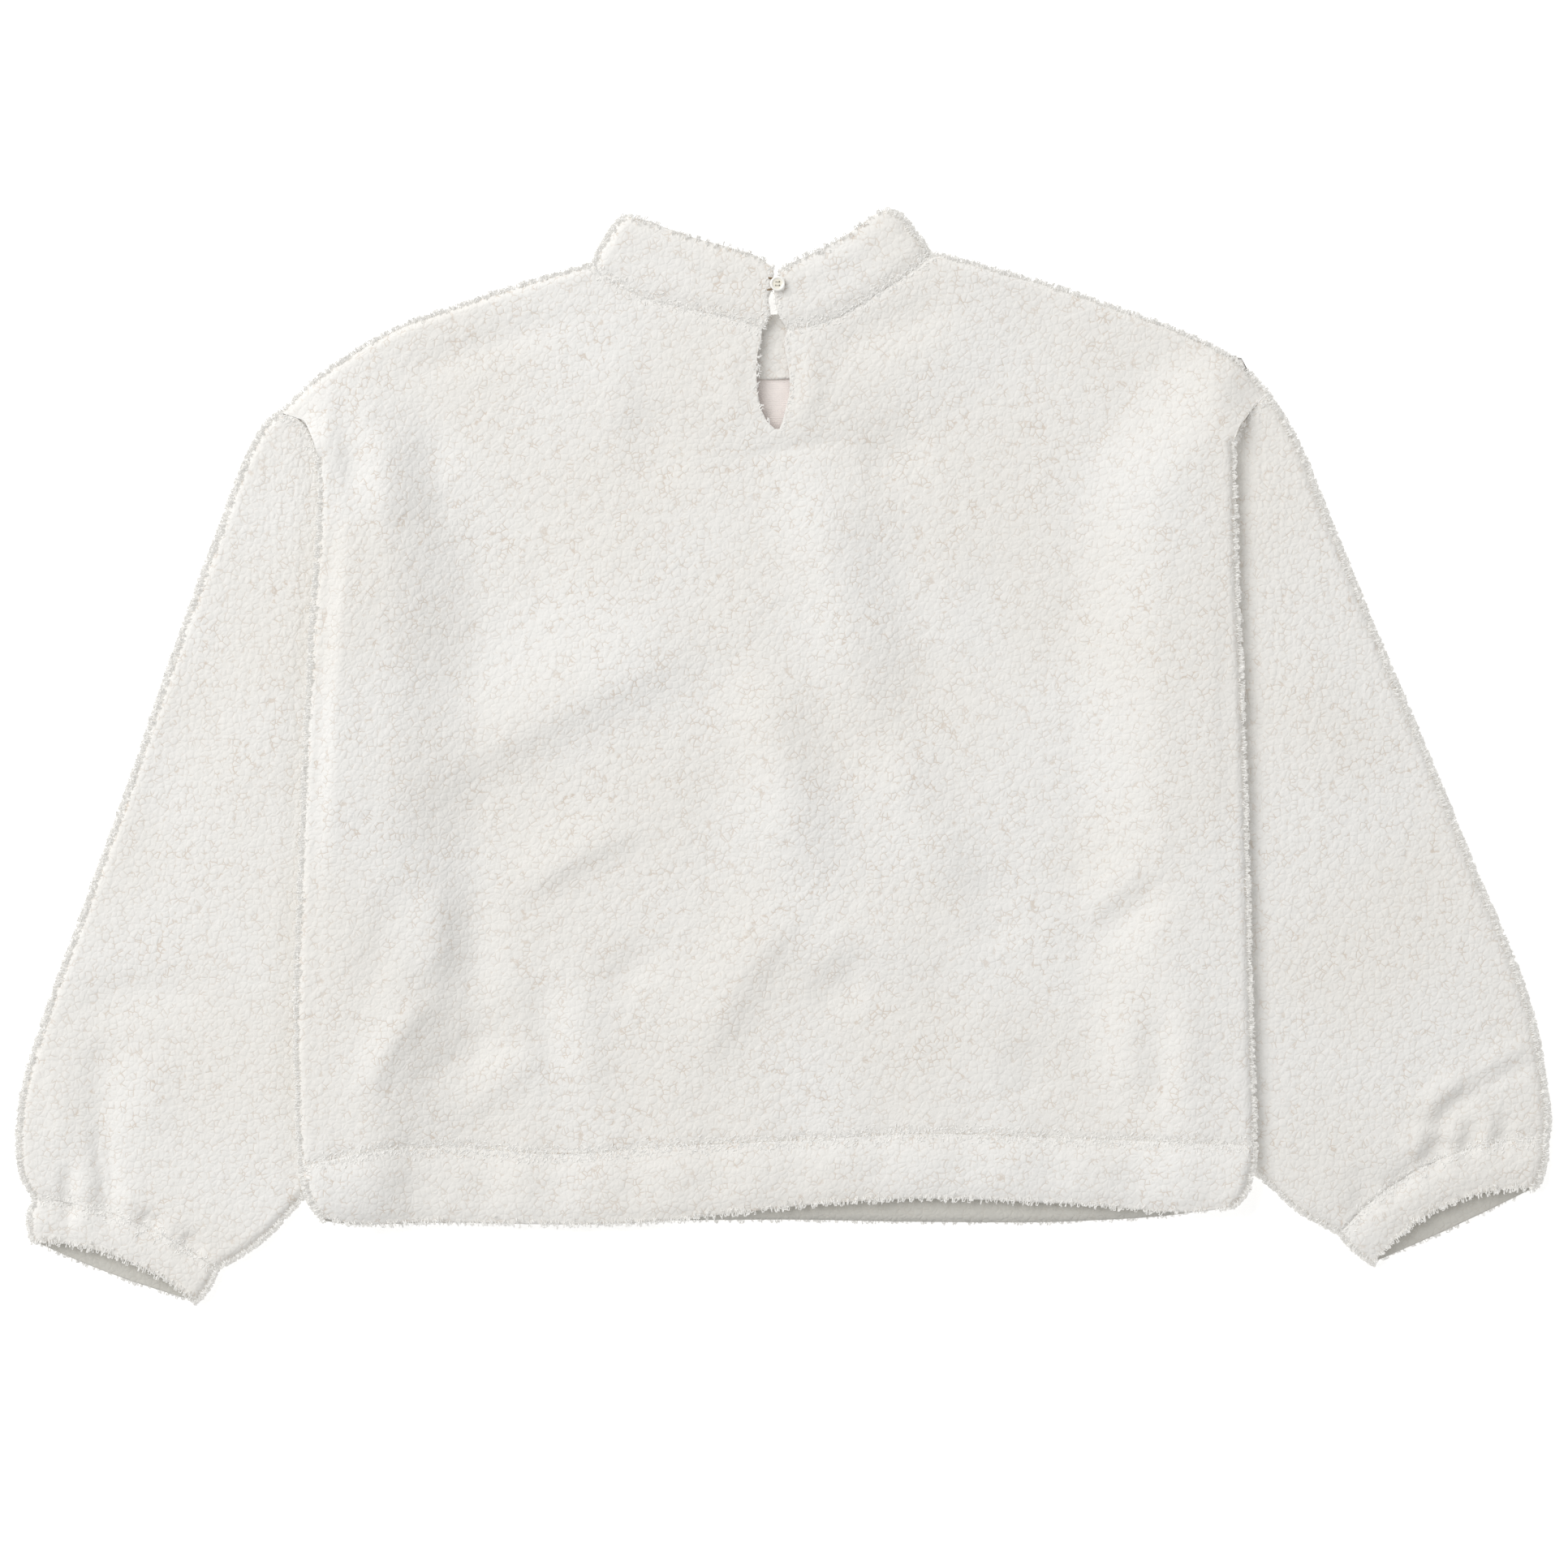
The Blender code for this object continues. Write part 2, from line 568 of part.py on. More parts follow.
def panel_grids(face, plan, u, v, upward):
    """The outer grid at a face's height, and the inner one a wall's thickness inside it."""
    x, y = plan[..., 0], plan[..., 1]
    d = edge_distance(x, y)[..., None]
    toward = inward(plan)
    shift = WALL * np.clip(1.0 - d / EDGE_ROUND, 0.0, 1.0) * toward
    armhole = slice(int(np.argmax(v > ARMHOLE_STOPS[0] + 1e-6)), None)
    neck = slice(int(np.argmax(u >= NECK_FROM - 1e-6)), int(np.argmax(u >= NECK_TO - 1e-6)) + 1)
    for rows in ((slice(None), 0), (0, armhole), (-1, armhole), (neck, -1)):
        along_cut(shift, plan, toward, rows)
    z = face(x, y)[..., None]
    down = WALL * turn(x, y)[..., None] * (1.0 if upward else -1.0)
    return np.concatenate([plan, z], axis=-1), np.concatenate([plan + shift, z - down], axis=-1)


def wall(name, outer, inner, around, material):
    """A closed solid between two grids of points; around joins the grids' first and last lines."""
    lines, rows = outer.shape[:2]
    points = np.concatenate([outer.reshape(-1, 3), inner.reshape(-1, 3)]) * MM
    o = np.arange(lines * rows).reshape(lines, rows)
    if around:
        o = np.vstack([o, o[:1]])
    i = o + lines * rows

    def strip(a, b, c, d):
        a, b, c, d = (q.ravel() for q in (a, b, c, d))
        return [np.stack([a, b, c], axis=1), np.stack([a, c, d], axis=1)]

    faces = strip(o[:-1, :-1], o[1:, :-1], o[1:, 1:], o[:-1, 1:])
    faces += [f[:, ::-1] for f in strip(i[:-1, :-1], i[1:, :-1], i[1:, 1:], i[:-1, 1:])]
    faces += strip(o[1:, 0], o[:-1, 0], i[:-1, 0], i[1:, 0])
    faces += strip(o[:-1, -1], o[1:, -1], i[1:, -1], i[:-1, -1])
    if not around:
        faces += strip(o[0, :-1], o[0, 1:], i[0, 1:], i[0, :-1])
        faces += strip(o[-1, 1:], o[-1, :-1], i[-1, :-1], i[-1, 1:])
    mesh = bpy.data.meshes.new(name)
    mesh.from_pydata(points.tolist(), [], np.concatenate(faces).tolist())
    return finished(name, mesh, material)


def finished(name, mesh, material):
    """Turns a closed mesh's faces outwards and puts it into the scene."""
    work = bmesh.new()
    work.from_mesh(mesh)
    bmesh.ops.recalc_face_normals(work, faces=work.faces)
    if work.calc_volume(signed=True) < 0:
        bmesh.ops.reverse_faces(work, faces=work.faces)
    work.to_mesh(mesh)
    work.free()
    mesh.shade_smooth()
    item = bpy.data.objects.new(name, mesh)
    item.data.materials.append(material)
    bpy.context.collection.objects.link(item)
    return item


def flat_ring(top_line, low_line, high, low, thick, top_stops, low_stops):
    """One section of a flattened tube, as outer and inner points all round.

    The lines give places for fractions across, high and low give heights for places, and the
    two edges are half circles between the layers.
    """
    ends = [(top_line(np.array([f])) + low_line(np.array([f])))[0] / 2 for f in (0.0, 1.0)]
    across = math.hypot(*(ends[1] - ends[0]))
    radius = [float(high(*end) - low(*end)) / 2 for end in ends]
    middle = [float(high(*end) + low(*end)) / 2 for end in ends]
    angle = np.radians(ROUND_ANGLES)
    outer, inner = [], []

    def layer(line, height, sign, stops):
        """Points of one layer from the first edge to the second."""
        for depth, out in ((0.0, outer), (thick, inner)):
            first = (radius[0] - (radius[0] - depth) * np.cos(angle)) / across
            last = 1 - (radius[1] - (radius[1] - depth) * np.cos(angle[::-1])) / across
            f = np.concatenate([first, stops, last])
            bend = np.concatenate([np.sin(angle), np.ones(len(stops)), np.sin(angle[::-1])])
            level = middle[0] + (middle[1] - middle[0]) * f
            place = line(f)
            z = level + (height(place[:, 0], place[:, 1]) - sign * depth - level) * bend
            points = np.column_stack([place, z])
            out.append(points if sign > 0 else points[::-1])

    def tip(which):
        for depth, out in ((0.0, outer), (thick, inner)):
            f = depth / across if which == 0 else 1 - depth / across
            place = (top_line(np.array([f])) + low_line(np.array([f]))) / 2
            out.append(np.column_stack([place, [middle[which]]]))

    tip(0)
    layer(top_line, high, 1, np.array(top_stops))
    tip(1)
    layer(low_line, low, -1, np.array(low_stops))
    return np.concatenate(outer), np.concatenate(inner)


def tube(name, rings, material):
    """Joins sections into a tube's wall."""
    outer = np.stack([ring[0] for ring in rings], axis=1)
    inner = np.stack([ring[1] for ring in rings], axis=1)
    return wall(name, outer, inner, True, material)


def path_shape(points):
    """Fractions and places of a run of straight stretches."""
    p = np.array(points, float)
    reach = np.concatenate([[0.0], np.cumsum(np.linalg.norm(np.diff(p, axis=0), axis=1))])
    return reach / reach[-1], p


def sleeve(name, rows, armhole, folds, draw, material):
    """A sleeve: sections from the armhole's seam down to the cuff's seam."""
    side = "left" if rows[0].out_x < 0 else "right"
    sign = 1.0 if side == "left" else -1.0
    even = np.linspace(0.0, 1.0, SLEEVE_RINGS)
    spread = SLEEVE_EVEN * even + (1 - SLEEVE_EVEN) * np.sin(even * math.pi / 2)
    sections = smooth_curve(rows, spread)
    top_end = [armhole[3], armhole[2], armhole[1], armhole[0], Point(rows[0].in_x, rows[0].in_y)]
    fractions, seam = path_shape(top_end)
    stops = [fractions[1], (fractions[1] + fractions[2]) / 2, *fractions[2:4], *TOP_STOPS]
    drop = np.array([SLEEVE_SEAM_DROP.x * sign, SLEEVE_SEAM_DROP.y])
    rings = []

    def high(x, y):
        out = sign * (side_x(y, side) - x)
        shown = ease(out, 0.0, SLEEVE_PUFF_REACH)
        rise = SLEEVE_OPEN - SLEEVE_HIDDEN + np.maximum(fold_rise(x, y, folds), -FOLD_DEEPEST)
        return SLEEVE_HIDDEN - pressed + shown * rise

    def low(x, y):
        return np.zeros(np.shape(x))

    for place, section in zip(spread, sections):
        start, end = section[:2], section[2:]
        bowed = 1.0 - ease(place, 0.0, ARMHOLE_BOW_FADE)
        pressed = SLEEVE_PRESS * (1.0 - float(ease(place, 0.0, SLEEVE_PRESS_FADE)))
        pulled = draw * ease(place, DRAW_FROM, 1.0)
        axis = np.array([start[1] - end[1], end[0] - start[0]]) * sign
        axis = axis / np.linalg.norm(axis)

        def straight(f):
            return start + (end - start) * f[:, None]

        def low_line(f):
            shape = np.column_stack([np.interp(f, fractions, seam[:, k]) for k in (0, 1)])
            chord = seam[0] + (seam[-1] - seam[0]) * f[:, None]
            return straight(f) + (shape - chord) * bowed + drop * (1.0 if place == 0 else 0.0)

        def top_line(f):
            return low_line(f) + axis * pulled * (4 * f * (1 - f))[:, None]

        rings.append(flat_ring(top_line, low_line, high, low, WALL, stops, LOW_STOPS))
    return tube(name, rings, material)


def cuff(name, rows, folds, draws, material):
    """A doubled, gathered band: its upper layer is drawn back, and its mouth edge is a fold."""
    sign = 1.0 if rows[0].out_x < 0 else -1.0
    rings = []
    for ring in CUFF_RINGS:
        section = smooth_curve(rows, [ring.v])[0]
        start, end = section[:2], section[2:]
        axis = np.array([start[1] - end[1], end[0] - start[0]]) * sign
        axis = axis / np.linalg.norm(axis)
        back_draw = draws.seam + (draws.mouth - draws.seam) * ring.v

        def high(x, y):
            dimples = np.maximum(fold_rise(x, y, folds), -FOLD_DEEPEST)
            return CUFF_HIGH - ring.inset + dimples * (1.0 - ring.v)

        def low(x, y):
            return np.full(np.shape(x), ring.inset)

        def line(f, bow):
            bell = (4 * f * (1 - f))[:, None]
            return start + (end - start) * f[:, None] + axis * bow * bell

        rings.append(flat_ring(
            lambda f: line(f, back_draw), lambda f: line(f, -draws.front * ring.v),
            high, low, CUFF_WALL - 2 * ring.inset, CUFF_STOPS, LOW_STOPS,
        ))
    return tube(name, rings, material)


def hem_band(u_back, u_front, material):
    """The doubled band round the hem, from the line of stitches down to its fold."""
    flat = slice(len(EDGE_ANGLES), -len(EDGE_ANGLES))
    rings = []
    for ring in HEM_RINGS:
        tuck = float(value_at(ring.v, HEM_TUCK))
        first, last = HEM_SEAM[0].x + tuck, HEM_SEAM[-1].x - tuck

        def line(f, edge):
            x = first + (last - first) * f
            seam = value_at(x, HEM_SEAM) - SEAM_GAP
            return np.column_stack([x, seam + (value_at(x, edge) - seam) * ring.v])

        def high(x, y):
            ripple = HEM_RIPPLE * np.cos(2 * math.pi * x / HEM_RIPPLE_PITCH)
            puff = 2 * BAND_WALL + BAND_GAP - ring.inset
            return lift(x, y, BACK_RAMP) + puff + ripple * math.sin(math.pi * ring.v) ** 2

        def low(x, y):
            return lift(x, y, FRONT_RAMP) + ring.floor

        rings.append(flat_ring(
            lambda f: line(f, HEM_BACK), lambda f: line(f, HEM_FRONT),
            high, low, BAND_WALL - ring.inset - ring.within, u_back[flat], u_front[flat],
        ))
    return tube("hem_band", rings, material)


def collar(u_back, u_front, material):
    """The doubled stand collar, from one end at the slit round both folds to the other end."""
    half = COLLAR_WALL / 2
    level_back, level_front = 1.5 * COLLAR_WALL + BAND_GAP, half
    axis_level = (level_back + level_front) / 2
    swing = (level_back - level_front) / 2
    back, front = neck_fraction(u_back), neck_fraction(u_front)
    back, front = (s[(s > 0.001) & (s < 0.999)] for s in (back, front))
    base_back, base_front = smooth_curve(NECK_BACK, back), smooth_curve(NECK_FRONT, front)
    stations = []

    def add(base, top, angle, out_base, out_top, thin=1.0):
        level = axis_level + swing * math.sin(math.radians(angle))
        stations.append((base, top, angle, out_base, out_top, level, thin))

    def run(bases, edge, angle, ends):
        """Stations of one straight-lying stretch, from its neck seam to its free edge."""
        reach = np.linalg.norm(np.diff(bases, axis=0), axis=1)
        s = np.concatenate([[0.0], np.cumsum(reach)]) / reach.sum()
        for k, (base, top) in enumerate(zip(bases, smooth_curve(edge, s))):
            add(base, top, angle, np.zeros(2), np.zeros(2), ends.get(k, 1.0))

    def fold(back_axis, front_axis, top_axis, corner, tip, angles):
        """Stations round a fold: a half circle from the back layer to the front one."""
        for angle in angles:
            base = back_axis if angle >= 0 else (back_axis + front_axis) / 2
            out_base = (np.array(tip) - base) / (swing + half)
            out_top = (np.array(corner) - top_axis) / (swing + half)
            add(base, top_axis, angle, out_base, out_top)

    def on_seam(x):
        return np.array([[x, np.interp(x, base_back[:, 0], base_back[:, 1])]])

    clear = COLLAR_END_REACH / 2
    left = base_back[base_back[:, 0] < COLLAR_SLIT[0] - COLLAR_END_REACH - clear]
    right = base_back[base_back[:, 0] > COLLAR_SLIT[1] + COLLAR_END_REACH + clear]
    near_left = base_back[np.abs(base_back[:, 0] - COLLAR_SLIT[0] + COLLAR_END_REACH) <= clear]
    near_right = base_back[np.abs(base_back[:, 0] - COLLAR_SLIT[1] - COLLAR_END_REACH) <= clear]
    near_left = near_left if len(near_left) else on_seam(COLLAR_SLIT[0] - COLLAR_END_REACH)
    near_right = near_right if len(near_right) else on_seam(COLLAR_SLIT[1] + COLLAR_END_REACH)
    left = np.vstack([left, near_left, on_seam(COLLAR_SLIT[0])])
    right = np.vstack([on_seam(COLLAR_SLIT[1]), near_right, right])
    top_left, top_right = np.array(COLLAR_LEFT_EDGE[0]), np.array(COLLAR_RIGHT_EDGE[-1])
    run(left[::-1], COLLAR_LEFT_EDGE[::-1], 90.0, {0: COLLAR_END})
    fold(left[0], base_front[0], top_left, COLLAR_CORNERS[0], NECK_BACK[0], (45.0, 0.0, -45.0))
    run(base_front, COLLAR_FRONT_EDGE, -90.0, {})
    fold(right[-1], base_front[-1], top_right, COLLAR_CORNERS[1], NECK_BACK[-1], (-45.0, 0.0, 45.0))
    run(right[::-1], COLLAR_RIGHT_EDGE[::-1], 90.0, {len(right) - 1: COLLAR_END})
    outer, inner = [], []
    for base, top, angle, out_base, out_top, level, thin in stations:
        cos, sin = math.cos(math.radians(angle)), math.sin(math.radians(angle))
        rise = (top - base) / np.linalg.norm(top - base)
        for out, sign in ((outer, 1.0), (inner, -1.0)):
            line = []
            for ring in COLLAR_RINGS:
                direction = out_base + (out_top - out_base) * ring.v
                size = half * thin * (ring.outside if sign > 0 else ring.inside)
                away = (swing + sign * size) * cos
                place = base + (top - base) * ring.v + direction * away
                place = place + rise * COLLAR_SEAM_GAP * (1 - ring.v)
                line.append([*place, level + sign * size * sin])
            out.append(line)
    return wall("collar", np.array(outer), np.array(inner), False, material)


def cylinder(name, at, radius, low, high, sides):
    """A plain upright cylinder as a mesh object, used as a body or as a cutter."""
    mesh = bpy.data.meshes.new(name)
    work = bmesh.new()
    bmesh.ops.create_cone(
        work, cap_ends=True, segments=sides, radius1=radius * MM, radius2=radius * MM,
        depth=(high - low) * MM,
    )
    bmesh.ops.translate(work, verts=work.verts, vec=(at[0] * MM, at[1] * MM, (low + high) / 2 * MM))
    work.to_mesh(mesh)
    work.free()
    item = bpy.data.objects.new(name, mesh)
    bpy.context.collection.objects.link(item)
    return item


def boolean(item, other, operation):
    """Adds an exact Boolean and hides the object it uses."""
    cut = item.modifiers.new(other.name, "BOOLEAN")
    cut.operation = operation
    cut.solver = "EXACT"
    cut.object = other
    other.hide_render = True
    other.display_type = "WIRE"


def button(material):
    """A dished disc with four holes, on a thread shank sewn to the collar's right end."""
    under = COLLAR_TOP + 2 * SEAM_GAP + 2 * LOOP_RADIUS
    top = under + BUTTON_THICK
    r = BUTTON_RADIUS
    profile = [
        (0.0, under), (r - BUTTON_BEVEL, under), (r, under + BUTTON_BEVEL), (r, top - BUTTON_BEVEL),
        (r - BUTTON_BEVEL, top), (r - BUTTON_RIM, top),
        (r - BUTTON_RIM - BUTTON_DISH, top - BUTTON_DISH), (0.0, top - BUTTON_DISH),
    ]
    sides = BUTTON_SIDES
    work = bmesh.new()
    centre_low = work.verts.new((0, 0, profile[0][1] * MM))
    centre_high = work.verts.new((0, 0, profile[-1][1] * MM))
    rings = []
    for radius, z in profile[1:-1]:
        turns = [2 * math.pi * k / sides for k in range(sides)]
        places = [(radius * math.cos(a) * MM, radius * math.sin(a) * MM, z * MM) for a in turns]
        rings.append([work.verts.new(place) for place in places])
    for k in range(sides):
        n = (k + 1) % sides
        work.faces.new((centre_low, rings[0][n], rings[0][k]))
        work.faces.new((centre_high, rings[-1][k], rings[-1][n]))
        for a, b in zip(rings[:-1], rings[1:]):
            work.faces.new((a[k], a[n], b[n], b[k]))
    bmesh.ops.translate(work, verts=work.verts, vec=(BUTTON_AT.x * MM, BUTTON_AT.y * MM, 0))
    mesh = bpy.data.meshes.new("button")
    work.to_mesh(mesh)
    work.free()
    disc = finished("button", mesh, material)
    for x, y in ((1, 1), (1, -1), (-1, 1), (-1, -1)):
        place = (BUTTON_AT.x + x * BUTTON_HOLE_PITCH, BUTTON_AT.y + y * BUTTON_HOLE_PITCH)
        hole = cylinder(
            "button_hole", place, BUTTON_HOLE, under - HOLE_PAST, top + HOLE_PAST, BUTTON_HOLE_SIDES,
        )
        boolean(disc, hole, "DIFFERENCE")
    foot = COLLAR_TOP + SEAM_GAP
    shank = cylinder("shank", SHANK_AT, SHANK_RADIUS, foot, under + SHANK_END, SHANK_SIDES)
    boolean(disc, shank, "UNION")
    return disc


def button_loop(material):
    """A thin cord from the collar's left end round the shank and back."""
    z = COLLAR_TOP + SEAM_GAP + LOOP_RADIUS
    curve = bpy.data.curves.new("button_loop", "CURVE")
    curve.dimensions = "3D"
    curve.bevel_depth = LOOP_RADIUS * MM
    curve.bevel_resolution = 2
    curve.use_fill_caps = True
    path = smooth_curve(LOOP_PATH, np.linspace(0.0, 1.0, 17))
    spline = curve.splines.new("POLY")
    spline.points.add(len(path) - 1)
    for point, (x, y) in zip(spline.points, path):
        point.co = (x * MM, y * MM, z * MM, 1.0)
    item = bpy.data.objects.new("button_loop", curve)
    curve.materials.append(material)
    bpy.context.collection.objects.link(item)
    return item


def keyhole_cutter():
    """An upright prism whose outline is the keyhole, open past the neck seam."""
    outline = [(row.left, row.y) for row in KEYHOLE] + [(row.right, row.y) for row in KEYHOLE[::-1]]
    work = bmesh.new()
    low, high = ([work.verts.new((x * MM, y * MM, z * MM)) for x, y in outline] for z in KEYHOLE_CUT)
    work.faces.new(low)
    work.faces.new(high[::-1])
    for k in range(len(outline)):
        n = (k + 1) % len(outline)
        work.faces.new((low[k], high[k], high[n], low[n]))
    bmesh.ops.recalc_face_normals(work, faces=work.faces)
    mesh = bpy.data.meshes.new("keyhole")
    work.to_mesh(mesh)
    work.free()
    item = bpy.data.objects.new("keyhole", mesh)
    bpy.context.collection.objects.link(item)
    return item


def surface(name, colour, roughness, metallic=0.0):
    """A plain surface with one colour, roughness and metallic value."""
    material = bpy.data.materials.new(name)
    material.use_nodes = True
    shader = material.node_tree.nodes["Principled BSDF"]
    shader.inputs["Base Color"].default_value = (*colour, 1.0)
    shader.inputs["Roughness"].default_value = roughness
    shader.inputs["Metallic"].default_value = metallic
    return material


def main():
    clear_scene()
    pile = surface("cream pile", (0.78, 0.72, 0.64), 0.95)
    glossy = surface("pale gloss plastic", (0.80, 0.72, 0.55), 0.25)
    thread = surface("tan thread", (0.42, 0.30, 0.18), 0.8)
    u_back, v_back = panel_stops(BACK_COLUMNS, BACK_ROWS)
    u_front, v_front = panel_stops(FRONT_COLUMNS, FRONT_ROWS)
    back_plan = panel_plan(NECK_BACK, u_back, v_back)
    front_plan = panel_plan(NECK_FRONT, u_front, v_front)
    back = wall("back_panel", *panel_grids(back_face, back_plan, u_back, v_back, True), False, pile)
    boolean(back, keyhole_cutter(), "DIFFERENCE")
    wall("front_panel", *panel_grids(front_face, front_plan, u_front, v_front, False), False, pile)
    hem_band(u_back, u_front, pile)
    collar(u_back, u_front, pile)
    sleeve("sleeve_left", SLEEVE_LEFT, ARMHOLE_LEFT, LEFT_FOLDS, LEFT_CUFF.seam, pile)
    sleeve("sleeve_right", SLEEVE_RIGHT, ARMHOLE_RIGHT, RIGHT_FOLDS, RIGHT_CUFF.seam, pile)
    cuff("cuff_left", CUFF_LEFT, LEFT_FOLDS, LEFT_CUFF, pile)
    cuff("cuff_right", CUFF_RIGHT, RIGHT_FOLDS, RIGHT_CUFF, pile)
    button(glossy)
    button_loop(thread)


main()
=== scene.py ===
"""The looks of a cream pile pullover with a stand collar, laid out flat with its back upwards.

Shapes are worked out in millimetres, X across the garment, Y from hem to collar and Z up from
the floor, and become metres when a mesh is made. Each cloth piece is a closed shell on the form
of its solid in the frame, with a fine outer face, a plainer inner one and pile curls on it.
"""
import math
from collections import namedtuple

import bmesh
import bpy
import numpy as np
from bpy.props import FloatProperty, FloatVectorProperty, PointerProperty
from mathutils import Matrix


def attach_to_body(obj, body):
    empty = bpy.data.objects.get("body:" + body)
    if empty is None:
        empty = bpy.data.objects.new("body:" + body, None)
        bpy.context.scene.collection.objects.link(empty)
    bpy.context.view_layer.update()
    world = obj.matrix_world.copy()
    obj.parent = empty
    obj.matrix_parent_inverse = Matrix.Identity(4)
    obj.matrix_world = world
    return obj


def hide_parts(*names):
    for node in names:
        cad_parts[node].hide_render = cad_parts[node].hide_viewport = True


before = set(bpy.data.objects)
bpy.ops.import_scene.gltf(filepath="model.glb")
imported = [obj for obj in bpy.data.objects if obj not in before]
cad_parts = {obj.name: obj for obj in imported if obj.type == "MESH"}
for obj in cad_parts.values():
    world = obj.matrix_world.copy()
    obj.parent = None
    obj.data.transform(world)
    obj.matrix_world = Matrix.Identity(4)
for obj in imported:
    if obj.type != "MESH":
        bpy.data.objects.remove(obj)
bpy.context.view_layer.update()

bl_info = {
    "name": "Pile pullover",
    "version": (1, 0, 0),
    "blender": (4, 5, 0),
    "location": "View3D > Sidebar > Pullover",
    "description": "Builds a pile pullover that lies flat, with its curls, seams and button",
    "category": "Object",
}

MM = 0.001

# Rows of the tables: a place, the body's two edges, a sleeve's section from its outer to its
# inner edge, the keyhole's two edges, and a cuff's draw at its seam, its mouth and in front
Point = namedtuple("Point", "x y")
Side = namedtuple("Side", "y left right")
Section = namedtuple("Section", "out_x out_y in_x in_y")
Slit = namedtuple("Slit", "y left right")
Draw = namedtuple("Draw", "seam mouth front")
# A crease runs through three places. Its rise is the height in its middle, and left and right
# are its reach to each side, seen from the first place towards the last
Crease = namedtuple("Crease", "x0 y0 x1 y1 x2 y2 rise left right")
# Rings of the doubled bands: the place from seam to fold, then how much thinner the cuff is, how
# far the hem's upper, lower and inner faces draw in, and the collar's share of its full thickness
CuffRing = namedtuple("CuffRing", "v inset")
HemRing = namedtuple("HemRing", "v inset floor within")
CollarRing = namedtuple("CollarRing", "v outside inside")

# One layer of cloth in the panels and sleeves, and in each of the doubled pieces
WALL = 4.5
BAND_WALL = 6.5
CUFF_WALL = 6.0
COLLAR_WALL = 7.0
# Between two pieces at a seam, between the body's two layers, and inside a doubled piece
SEAM_GAP = 0.3
LAYER_GAP = 1.0
BAND_GAP = 0.8
# The side seams' height, and how far from an edge the cloth has turned round it
SIDE_SEAM = 5.0
EDGE_ROUND = 6.0
# The height of a sleeve under the body and beside it, and of a cuff
SLEEVE_HIDDEN = 11.2
SLEEVE_OPEN = 12.6
CUFF_HIGH = 13.0
# How far the sleeves raise the body, how far from them it stays level, and how far from them the
# front and the back have come down again
LIFT = 11.9
LIFT_LEVEL = 12.0
FRONT_RAMP = 56.0
BACK_RAMP = 76.0

# The body's side edges, from the hem seam up to the sleeves' seams
SIDES = [
    Side(-267.0, -307.8, 301.6),
    Side(-190.0, -311.2, 299.2),
    Side(-88.0, -308.4, 296.4),
    Side(16.0, -304.2, 293.6),
    Side(68.0, -301.6, 291.6),
    Side(120.0, -298.0, 289.2),
    Side(165.0, -295.4, 288.2),
]
ARMHOLE_LEFT = [Point(-296.4, 188.8), Point(-300.0, 200.7), Point(-306.3, 214.3), Point(-322.0, 219.7)]
ARMHOLE_RIGHT = [Point(287.2, 198.5), Point(291.8, 211.0), Point(301.0, 223.5), Point(309.6, 232.6)]
SHOULDER_LEFT = [
    Point(-322.0, 219.7), Point(-293.3, 244.9), Point(-241.8, 275.6), Point(-212.0, 286.2),
    Point(-183.6, 296.0), Point(-122.7, 314.1),
]
SHOULDER_RIGHT = [
    Point(309.6, 232.6), Point(288.6, 253.2), Point(257.4, 269.8), Point(215.8, 285.4),
    Point(174.2, 299.8), Point(93.6, 321.9),
]
NECK_BACK = [
    Point(-122.7, 314.1), Point(-115.9, 308.2), Point(-91.0, 294.3), Point(-59.3, 286.0),
    Point(-33.8, 280.6), Point(-5.2, 272.6), Point(18.2, 275.6), Point(40.6, 284.4),
    Point(60.3, 296.4), Point(87.7, 315.0), Point(93.6, 321.9),
]
NECK_FRONT = [
    Point(-122.7, 314.1), Point(-115.4, 305.6), Point(-91.0, 276.1), Point(-59.8, 255.3),
    Point(-7.3, 241.8), Point(46.8, 256.9), Point(72.8, 282.4), Point(87.4, 312.4),
    Point(93.6, 321.9),
]
HEM_SEAM = [
    Point(-307.8, -263.1), Point(-269.9, -254.8), Point(-207.0, -251.7), Point(-148.2, -255.8),
    Point(-65.0, -250.6), Point(18.2, -246.5), Point(85.8, -242.8), Point(174.2, -245.4),
    Point(244.4, -247.5), Point(301.2, -249.6),
]
HEM_BACK = [
    Point(-307.8, -286.0), Point(-293.8, -294.8), Point(-278.0, -298.6), Point(-231.4, -298.8),
    Point(-85.8, -298.6), Point(-33.8, -293.3), Point(18.2, -287.6), Point(80.1, -283.9),
    Point(182.5, -287.0), Point(273.0, -290.7), Point(301.6, -285.0),
]
HEM_FRONT = [
    Point(-307.8, -287.0), Point(-293.8, -297.0), Point(-278.0, -299.8), Point(-231.4, -299.6),
    Point(-85.8, -298.2), Point(7.8, -297.6), Point(91.0, -299.0), Point(195.0, -298.2),
    Point(264.7, -292.4), Point(301.6, -284.0),
]
# How far the hem band's side edges come in, from its seam down to its fold
HEM_TUCK = [Point(0.0, 0.0), Point(0.5, 2.8), Point(0.85, 7.4), Point(1.0, 13.0)]

